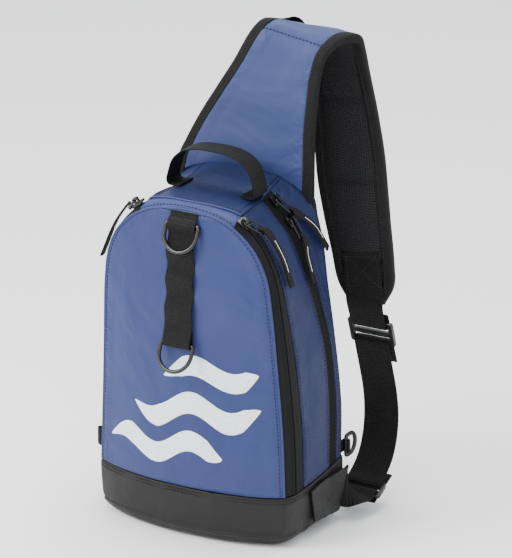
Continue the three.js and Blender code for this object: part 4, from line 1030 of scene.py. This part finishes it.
def strap_points(along, across, lift=0.0):
    """Points of the strap: along from root to end, across from -1 at its left edge to 1, lift towards the
    outside."""
    along, across, lift = np.broadcast_arrays(*(np.asarray(v, float) for v in (along, across, lift)))
    shape = along.shape
    u, s, h = along.ravel(), across.ravel(), lift.ravel()
    left, right, wide, normal = strap_directions(u)
    half = np.linalg.norm(right - left, axis=1) / 2
    p = (left + right) / 2 + wide * (s * half)[:, None] + normal * h[:, None]
    clear = BODY_HEIGHT + 12
    lowest = STRAP_ROWS[0][2] * STRAP_TOP
    seat = shoulder_height(p[:, 0]) - ROOT_TUCK
    low = (u <= 0.25) & (p[:, 2] < clear)
    drawn = seat + (clear - seat) * (p[:, 2] - lowest) / (clear - lowest)
    p[:, 2] = np.where(low, drawn, p[:, 2])
    return p.reshape(shape + (3,))


NAVY_STRAP = coated_cloth("navy_strap_cloth", (0.036, 0.051, 0.146), (0.028, 0.041, 0.122), 0.50, 12, 0.008)
BINDING = ribbed_cloth("black_binding", (0.0060, 0.0060, 0.0056), 0.0014, 0.00018)
STRAP_LENGTH_MM = float(lengths_along(strap_points(np.linspace(0, 1, 200), 0.0)[None], 1)[0, -1])


def strap_width(along):
    return np.linalg.norm(strap_left(along) - strap_right(along), axis=1)


def rounded_inset(along, inset):
    """Share of the half width that stays inside an inset from both edges."""
    return 1 - inset / (strap_width(along) / 2)


def strap_layer(inset):
    """Places over the strap inside an inset from its edge, and each one's distance from that line, in
    millimetres."""
    end = 1 - (inset + 0.3) / 21 / (len(STRAP_ROWS) - 1)
    alongs = np.concatenate([np.linspace(0, 0.94, 190), np.linspace(0.94, end, 16)[1:]])
    shares = np.linspace(-1, 1, 41)
    limit = rounded_inset(alongs, inset)
    along, share = np.meshgrid(alongs, shares, indexing="ij")
    across = share * limit[:, None]
    margin = (1 - np.abs(across)) * strap_width(alongs)[:, None] / 2 - inset
    return along, across, margin


def strap_panel():
    inset = STRAP_BINDING_WIDTH - 1.5
    along, across, margin = strap_layer(inset)
    bare = strap_points(along, across, 0)
    crown = 1.6 * (1 - np.exp(-margin / 9))
    fold_stitch = 0.9 * np.exp(-(((along - FOLD_ROW) * STRAP_LENGTH_MM / 1.1) ** 2))
    lift = STRAP_PAD / 2 + 1.2 + crown - fold_stitch
    lift = lift + gentle_dents(bare, 45, 1.6, 31) * np.clip(margin / 12, 0, 1)
    outer = strap_points(along, across, lift)
    cloth_piece("strap_navy_panel", outer, 1.3, NAVY_STRAP, facing=1, nodes=["strap_panel"],
                        seam_margin=margin)


QUILT_SEAMS = (403, 325, 249)


def strap_pad():
    along, across, margin = strap_layer(3.0)
    bare = strap_points(along, across, 0)
    height = bare[..., 2]
    rear = along > 0.42
    channels = sum(ridge(height, z, 3.2) for z in QUILT_SEAMS) * rear
    crown = 2.4 * (1 - np.exp(-np.clip(margin - 7, 0, None) / 6))
    sewn_in = np.clip(channels, 0, 1)
    lift = -(STRAP_PAD / 2 - 0.4) - crown * (1 - 0.95 * sewn_in) + 0.7 * sewn_in
    lift = lift + gentle_dents(bare, 26, 0.8, 41) * np.clip((margin - 7) / 8, 0, 1)
    outer = strap_points(along, across, lift)
    piece = cloth_piece("strap_mesh_pad", outer, STRAP_PAD - 0.8, BLACK_MESH, facing=-1, nodes=["strap_pad"],
                        seam_margin=margin)


def strap_binding():
    """The binding, as one band of grosgrain folded round the strap's edge from the root, round the end and
    back."""
    down = np.concatenate([np.linspace(0, 0.94, 190), np.linspace(0.94, 1, 20)[1:]])
    turn = np.linspace(-1, 1, 24)[1:-1]
    u = np.concatenate([down, np.ones_like(turn), down[::-1]])
    s = np.concatenate([-np.ones_like(down), turn, np.ones_like(down)])
    edge = strap_points(u, s, 0)
    normal = strap_directions(u)[3]
    tangent = np.gradient(edge, axis=0)
    out = unit(np.cross(tangent, normal))
    within = strap_points(np.minimum(u, 0.955), s * 0.5, 0)
    out *= np.sign(np.sum(out * (edge - within), axis=1))[:, None]
    half = STRAP_PAD / 2 + 1.7
    wrap = [(-STRAP_BINDING_WIDTH, half - 0.5), (-STRAP_BINDING_WIDTH + 1, half), (-6, half + 0.15),
            (-2.2, half - 0.1)]
    wrap += [(-0.75, half * 0.8), (0, half * 0.42), (0.2, 0)]
    wrap += [(o, -n) for o, n in wrap[-2::-1]]
    section = smooth_line([(o, n, 0) for o, n in wrap])(np.linspace(0, 1, 30))
    grid = edge[:, None] + out[:, None] * section[None, :, 0:1] + normal[:, None] * section[None, :, 1:2]
    facing = 1
    sample = grid_normals(grid)[len(down) // 2, 15]
    if np.dot(sample, out[len(down) // 2]) < 0:
        facing = -1
    cloth_piece("strap_grosgrain_binding", grid, 1.1, BINDING, facing=facing, nodes=["strap_binding"])


def strap_stitches():
    """The rows that hold the binding, on both faces, the row below the shoulder fold, and the pad's
    quilting rows."""
    along = np.linspace(0.004, 0.985, 420)
    across = rounded_inset(along, STRAP_BINDING_WIDTH - 1.7)
    face = STRAP_PAD / 2 + 1.85
    edges = [strap_points(along, across * side, lift) for side in (-1, 1) for lift in (face, -face)]
    stitch_rows("strap_binding_stitches", edges, GREY_THREAD, pitch=3.4, stitch=2.4,
                thread=0.7)
    share = np.linspace(-0.86, 0.86, 60)
    fold = strap_points(np.full(60, FOLD_ROW), share, STRAP_PAD / 2 + 2.1)
    stitch_rows("strap_fold_stitches", [fold], NAVY_THREAD)
    rows = []
    places = np.linspace(0.45, 0.96, 300)
    for height in QUILT_SEAMS:
        at = np.array([np.interp(-height, -strap_points(places, x, 0)[:, 2], places) for x in share * 0.9])
        rows.append(strap_points(at, share * 0.9, -(STRAP_PAD / 2 - 0.4) + 0.1))
    stitch_rows("strap_quilting_stitches", rows, GREY_THREAD, pitch=3.4, stitch=2.4,
                thread=0.7)


GREY_THREAD = plain_colour("dark_grey_thread", (0.020, 0.020, 0.019), 0.6)
strap_panel()
strap_pad()
strap_binding()
strap_stitches()


# The webbing.
# Flat woven nylon in three widths: the handle, the ladder of loops on the front, the tabs, and the long
# piece from the strap's end through the adjuster to the base. Each is read from its CAD node, section by
# section.

WELD = 2e-5
WEBBING = ribbed_cloth("black_webbing", (0.0052, 0.0054, 0.0048), 0.0021, 0.00035)


def sections_of(node):
    """The rows of four corners of a ribbon's CAD solid, in order from one end to the other."""
    bm = bmesh.new()
    bm.from_mesh(frame["nodes"][node].data)
    bmesh.ops.remove_doubles(bm, verts=bm.verts, dist=WELD)
    bm.verts.ensure_lookup_table()

    def spread(start):
        seen, layers, current = set(start), [list(start)], list(start)
        while current:
            reached = []
            for v in current:
                for e in v.link_edges:
                    w = e.other_vert(v)
                    if w not in seen:
                        seen.add(w)
                        reached.append(w)
            if reached:
                layers.append(reached)
            current = reached
        return layers

    def end_caps(tip):
        for face in tip.link_faces:
            for edge in face.edges:
                for other in edge.link_faces:
                    if other is not face:
                        cap = list(dict.fromkeys(list(face.verts) + list(other.verts)))
                        if len(cap) == 4:
                            yield cap

    def skew(cap):
        """How far four corners are from a parallelogram: nought for a section cut straight across."""
        p, q, r, t = (v.co for v in cap)
        return min((p + q - r - t).length, (p + r - q - t).length, (p + t - q - r).length)

    found, least = None, 1.0
    for tip in spread([bm.verts[0]])[-1]:
        for cap in end_caps(tip):
            layers = spread(cap)
            whole = all(len(layer) == 4 for layer in layers) and 4 * len(layers) == len(bm.verts)
            if whole and skew(cap) < least:
                found, least = layers, skew(cap)
    if not found:
        raise ValueError(f"{node} has no ribbon sections: {len(bm.verts)} corners")
    first = found[0]
    tip = first[0]
    side = min(first[1:], key=lambda v: (v.co - tip.co).length)
    opposite = max(first[1:], key=lambda v: (v.co - tip.co).length)
    corner = next(v for v in first if v not in (tip, side, opposite))
    rows = [[v.co.copy() for v in (tip, corner, opposite, side)]]
    for layer in found[1:]:
        last = rows[-1]
        from_middle = [p - sum(last, Vector()) / 4 for p in last]
        here = sum((v.co for v in layer), Vector()) / 4

        def twist(order):
            return sum((v.co - here - p).length_squared for v, p in zip(order, from_middle))

        rows.append([v.co.copy() for v in min(itertools.permutations(layer), key=twist)])
    bm.free()
    return np.array([[list(c) for c in row] for row in rows]) / MM - BAG_ORIGIN


def ribbon_frame(node, step=1.0):
    """The middle line of a ribbon with the directions across it and out of it, its half width and the
    length so far."""
    rows = sections_of(node)
    far, corner, opposite, side = (rows[:, k] for k in range(4))
    centre = rows.mean(axis=1)
    wide = (corner + opposite - far - side) / 2
    spans = len(rows) - 1
    share = []
    for i in range(spans):
        count = max(int(np.linalg.norm(centre[i + 1] - centre[i]) / step), 1)
        share += list(i / spans + np.arange(count) / count / spans)
    share = np.array(share + [1.0])
    p = smooth_line(centre)(share)
    row = np.arange(spans + 1)
    half = np.interp(share * spans, row, np.linalg.norm(wide, axis=1)) / 2
    w = np.stack([np.interp(share * spans, row, wide[:, k]) for k in range(3)], axis=1)
    tangent = unit(np.gradient(p, axis=0))
    w = unit(w - tangent * np.sum(w * tangent, axis=1)[:, None])
    travelled = np.concatenate([[0], np.cumsum(np.linalg.norm(np.diff(p, axis=0), axis=1))])
    return p, w, unit(np.cross(w, tangent)), half, travelled


def on_ribbon(ribbon, along, across, lift):
    """Points on a ribbon: along it and across from its middle, and above its face, in millimetres."""
    p, w, n, _, travelled = ribbon
    along, across = np.broadcast_arrays(np.asarray(along, float), np.asarray(across, float))
    place, wide, out = (np.stack([np.interp(along, travelled, v[:, k]) for k in range(3)], axis=-1)
                        for v in (p, w, n))
    return place + wide * across[..., None] + out * lift


def turn_faces_out(mesh):
    bm = bmesh.new()
    bm.from_mesh(mesh)
    bmesh.ops.recalc_face_normals(bm, faces=bm.faces)
    bm.to_mesh(mesh)
    bm.free()


def woven_ribbon(name, node, thickness, material):
    """A ribbon with a rounded, slightly crowned section, swept smoothly through the rows of its CAD node."""
    p, w, n, half, travelled = ribbon_frame(node)
    turns = np.linspace(0, 2 * np.pi, 29)[:-1]
    cosine, sine = np.cos(turns), np.sin(turns)
    section_w = np.sign(cosine) * np.abs(cosine) ** 0.35
    section_n = np.sign(sine) * np.abs(sine) ** 0.6 * (thickness / 2)
    across = w[:, None] * (section_w[None, :, None] * half[:, None, None])
    grid = p[:, None] + across + n[:, None] * section_n[None, :, None]
    rows_count, count = grid.shape[:2]
    index = np.arange(rows_count * count).reshape(rows_count, count)
    following = np.roll(index, -1, axis=1)
    faces = np.stack([index[:-1], index[1:], following[1:], following[:-1]], axis=-1).reshape(-1, 4).tolist()
    faces += [index[0].tolist(), index[-1][::-1].tolist()]
    points = (grid.reshape(-1, 3) + BAG_ORIGIN) * MM
    mesh = bpy.data.meshes.new(name)
    mesh.from_pydata(points.tolist(), [], faces)
    uv = np.stack(np.broadcast_arrays(section_w[None, :] * half[:, None], travelled[:, None]),
                  axis=-1).reshape(-1, 2) * MM
    give_uv(mesh, uv)
    mesh.shade_smooth()
    mesh.materials.append(material)
    turn_faces_out(mesh)
    piece = in_scene(name, mesh)
    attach(piece, "bag")
    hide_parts(node)


WEBBING_THICKNESS = 1.8
for name, node in (
    ("handle_webbing", "handle"), ("front_ladder_webbing", "front_webbing"),
    ("side_ring_webbing", "side_ring_tab_right"),
    ("side_loop_webbing", "side_loop_left"), ("upper_strap_webbing", "upper_webbing"),
    ("main_strap_webbing", "main_webbing"), ("wing_tab_webbing", "wing_tab_right"),
):
    woven_ribbon(name, node, WEBBING_THICKNESS, WEBBING)


# The webbing's stitches.
# A box and cross where the strap's end webbing is sewn on, and bar tacks, which are close zigzags across a
# piece.

PATCH = (3.5, 33.0)


def dash_line(ribbon, start, end, lift, count=40):
    t = np.linspace(0, 1, count)
    return on_ribbon(ribbon, start[0] + (end[0] - start[0]) * t, start[1] + (end[1] - start[1]) * t, lift)


def box_and_cross(ribbon, low, high, half, lift):
    corners = [(low, -half), (low, half), (high, half), (high, -half)]
    lines = [dash_line(ribbon, corners[i], corners[(i + 1) % 4], lift) for i in range(4)]
    return lines + [dash_line(ribbon, corners[i], corners[i + 2], lift) for i in (0, 1)]


def bar_tack(ribbon, at, half, lift):
    zigzag = [(at + 1.1 * (-1) ** i, x) for i, x in enumerate(np.linspace(-half, half, int(half * 2.6)))]
    along, across = np.array(zigzag).T
    return on_ribbon(ribbon, along, across, lift)


THREAD_LIFT = WEBBING_THICKNESS / 2 + 0.1
patch = ribbon_frame("upper_webbing")
patch_rows = [line for lift in (THREAD_LIFT, -THREAD_LIFT)
              for line in box_and_cross(patch, *PATCH, 15.5, lift)]
stitch_rows("strap_patch_stitches", patch_rows, GREY_THREAD, pitch=3.0, stitch=2.3,
            thread=0.7)
ladder = ribbon_frame("front_webbing")
tacks = [bar_tack(ladder, at, 13, lift) for at in (4.0, 8.0) for lift in (THREAD_LIFT, -THREAD_LIFT)]
stitch_rows("ladder_bar_tacks", tacks, GREY_THREAD, pitch=1.6, stitch=1.5, thread=0.5)


# The rings.
# Two D-rings of dark nickelled wire in the front ladder, which swing on their bars, and one of black
# plastic in the tab at the right rear seam.


def metal(name, colour, roughness):
    material, tree, shader, place = start_material(name)
    scuff = speckle(tree, place, 260.0, 5.0)
    rough = ranged(tree, scuff, 0.35, 0.7, roughness - 0.03, roughness + 0.08)
    tree.links.new(rough, shader.inputs["Roughness"])
    two_tone(tree, shader, scuff, colour, 0.9, 1.0)
    raised(tree, shader, scuff, 0.03, 0.0002)
    shader.inputs["Metallic"].default_value = 1.0
    return material


RING_METAL = metal("dark_nickel_ring", (0.050, 0.050, 0.047), 0.26)
ZIP_METAL = metal("dark_nickel_zipper", (0.055, 0.055, 0.053), 0.3)


def moulded_plastic(name, colour, roughness):
    material, tree, shader, place = start_material(name)
    raised(tree, shader, speckle(tree, place, 1500.0, 2.0), 0.15, 0.0002)
    two_tone(tree, shader, speckle(tree, place, 60.0, 4.0), colour, 1.0, 1.5)
    shader.inputs["Roughness"].default_value = roughness
    return material


BLACK_PLASTIC = moulded_plastic("black_moulded_plastic", (0.006, 0.006, 0.006), 0.36)


def round_wire(name, outline, radius, material, body, node, sides=16):
    """A closed loop of round wire through points in metres."""
    count = len(outline)
    normal = unit(sum(np.cross(outline[i], outline[(i + 1) % count]) for i in range(count)))
    tangent = unit(np.roll(outline, -1, axis=0) - np.roll(outline, 1, axis=0))
    side = np.cross(tangent, normal)
    turn = np.linspace(0, 2 * np.pi, sides + 1)[:-1]
    ring = side[:, None] * np.cos(turn)[None, :, None] + normal[None, None] * np.sin(turn)[None, :, None]
    points = (outline[:, None] + ring * radius).reshape(-1, 3)
    index = np.arange(count * sides).reshape(count, sides)
    ahead = np.roll(index, -1, axis=0)
    faces = np.stack([index, np.roll(index, -1, axis=1), np.roll(ahead, -1, axis=1), ahead],
                     axis=-1).reshape(-1, 4)
    mesh = bpy.data.meshes.new(name)
    mesh.from_pydata(points.tolist(), [], faces.tolist())
    turn_faces_out(mesh)
    mesh.shade_smooth()
    mesh.materials.append(material)
    piece = in_scene(name, mesh)
    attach(piece, body)
    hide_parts(node)


def d_outline(width, height, wire, corner=2.4):
    half, drop = (width - wire) / 2, height - wire
    straight = max(drop - half, corner + 1)
    points = [(x, 0.0) for x in np.linspace(-half + corner, half - corner, 12)[:-1]]
    points += [(half - corner + corner * math.cos(a), -corner + corner * math.sin(a))
               for a in np.linspace(np.pi / 2, 0, 7)]
    points += [(half * math.cos(a), -straight + (drop - straight) * math.sin(a))
               for a in np.linspace(0, -np.pi, 40)]
    points += [(-half + corner + corner * math.cos(a), -corner + corner * math.sin(a))
               for a in np.linspace(np.pi, np.pi / 2, 7)[:-1]]
    return np.array(points)


def swinging_ring(name, node, body, width, height, wire, material):
    joint = next(j for j in frame["joints"] if j["child"] == body)
    bar = np.array(joint["pos_m"], float)
    axis = unit(np.array(joint["axis"], float))
    corners = np.array([list(v.co) for v in frame["nodes"][node].data.vertices])
    down = corners.mean(axis=0) - bar
    down = unit(down - axis * np.dot(down, axis))
    outline = np.array([bar + (axis * x - down * z) * MM for x, z in d_outline(width, height, wire)])
    round_wire(name, outline, wire / 2 * MM, material, body, node)


swinging_ring("upper_ring_wire", "upper_d_ring", "upper_ring", 39, 31, 4, RING_METAL)
swinging_ring("lower_ring_wire", "lower_d_ring", "lower_ring", 39, 31, 4, RING_METAL)
swinging_ring("side_ring_plastic", "side_d_ring_right", "side_ring", 25, 22, 4.2, BLACK_PLASTIC)


# The plastic adjuster and the lower buckle.
# Both are moulded acetal with rounded bars that the webbing runs round.


SHARP_EDGE = math.radians(35)


def softened_copy(name, node, bevel, material, segments=2):
    """A copy of a hard CAD node with its edges rounded, as a mould leaves them."""
    mesh = frame["nodes"][node].data.copy()
    mesh.name = name
    bm = bmesh.new()
    bm.from_mesh(mesh)
    bmesh.ops.remove_doubles(bm, verts=bm.verts, dist=WELD)
    bmesh.ops.dissolve_limit(bm, angle_limit=math.radians(2), verts=bm.verts, edges=bm.edges)
    sharp = [e for e in bm.edges if e.calc_face_angle(0) > SHARP_EDGE]
    bmesh.ops.bevel(bm, geom=sharp, offset=bevel * MM, segments=segments, profile=0.6, affect="EDGES",
                    clamp_overlap=True)
    bm.to_mesh(mesh)
    bm.free()
    mesh.materials.clear()
    mesh.materials.append(material)
    mesh.shade_smooth()
    piece = in_scene(name, mesh)
    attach(piece, "bag")
    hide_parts(node)


softened_copy("adjuster_plastic", "tri_glide", 1.1, BLACK_PLASTIC, 3)
softened_copy("lower_buckle_plastic", "lower_buckle", 1.1, BLACK_PLASTIC, 3)


# The zippers' sliders, wire pulls and cloth pullers.
# A cast slider, a loop of bent wire through its bridge and a woven cloth end with a reflective line.

PULLER_CLOTH = ribbed_cloth("black_puller_cloth", (0.0055, 0.0055, 0.0055), 0.0016, 0.0002)
REFLECTIVE = plain_colour("reflective_thread", (0.84, 0.86, 0.86), 0.35)
PULL_WIRE, PULL_WIDTH, PULL_LENGTH = 1.6, 9.6, 20.0


def pull_outline():
    half_w, half_l, corner = (PULL_WIDTH - PULL_WIRE) / 2, (PULL_LENGTH - PULL_WIRE) / 2, 1.6
    turns = np.linspace(0, np.pi / 2, 6)
    quarter = [(half_w - corner + corner * math.cos(a), half_l - corner + corner * math.sin(a))
               for a in turns]
    upper = quarter + [(-x, y) for x, y in quarter[::-1]]
    return np.array(upper + [(-x, -y) for x, y in upper])


for zip_name in ("front_right", "front_left", "rear_upper", "rear_lower"):
    softened_copy(f"slider_body_{zip_name}", f"slider_{zip_name}", 0.35, ZIP_METAL)
    corners = np.array([list(v.co) for v in frame["nodes"][f"pull_{zip_name}"].data.vertices])
    middle = corners.mean(axis=0)
    spread_axes = np.linalg.eigh(np.cov((corners - middle).T))[1]
    length, width = spread_axes[:, 2], spread_axes[:, 1]
    reach = (corners - middle) @ length
    middle = middle + length * reach.max() / 2 + length * reach.min() / 2
    outline = np.array([middle + (width * x + length * y) * MM for x, y in pull_outline()])
    round_wire(f"pull_wire_{zip_name}", outline, PULL_WIRE / 2 * MM, ZIP_METAL, "bag", f"pull_{zip_name}",
               sides=10)
    woven_ribbon(f"puller_cord_{zip_name}", f"puller_{zip_name}", 2.2, PULLER_CLOTH)
    cord = ribbon_frame(f"puller_{zip_name}")
    length = cord[-1][-1]
    lines = [on_ribbon(cord, np.linspace(0.38, 0.8, 60) * length, 0.0, lift) for lift in (1.0, -1.0)]
    stitch_rows(f"puller_reflective_line_{zip_name}", lines, REFLECTIVE, pitch=1.1,
                stitch=1.6, thread=0.9)


# The wings.
# Folded cloth at the lower corners, which the webbing is sewn into.


def wing(name, node, seed):
    """A copy of the wing's CAD node, cut finer, rounded at its edges and creased as folded cloth is."""
    mesh = frame["nodes"][node].data.copy()
    mesh.name = name
    bm = bmesh.new()
    bm.from_mesh(mesh)
    bmesh.ops.remove_doubles(bm, verts=bm.verts, dist=WELD)
    sharp = [e for e in bm.edges if e.calc_face_angle(0) > SHARP_EDGE]
    bmesh.ops.bevel(bm, geom=sharp, offset=0.8 * MM, segments=2, profile=0.6, affect="EDGES",
                    clamp_overlap=True)
    for _ in range(4):
        long_edges = [e for e in bm.edges if e.calc_length() > 3 * MM]
        bmesh.ops.subdivide_edges(bm, edges=long_edges, cuts=1)
        bmesh.ops.triangulate(bm, faces=bm.faces)
    bm.normal_update()
    for v in bm.verts:
        q = Vector((v.co.x * 28 + seed, v.co.y * 70, v.co.z * 55))
        v.co.z += 1.3 * MM * noise.noise(q * 1.6)
        v.co.y += 1.5 * MM * noise.noise(q + Vector((9, 0, 0)))
        v.co.x += 0.8 * MM * noise.noise(q + Vector((0, 9, 0)))
    bm.to_mesh(mesh)
    bm.free()
    mesh.materials.clear()
    mesh.materials.append(WING_CLOTH)
    mesh.shade_smooth()
    piece = in_scene(name, mesh)
    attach(piece, "bag")
    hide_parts(node)


WING_CLOTH = leather_cloth("black_wing_cloth", (0.0050, 0.0050, 0.0046))
wing("wing_cloth_right", "wing_right", 1)
wing("wing_cloth_left", "wing_left", 5)
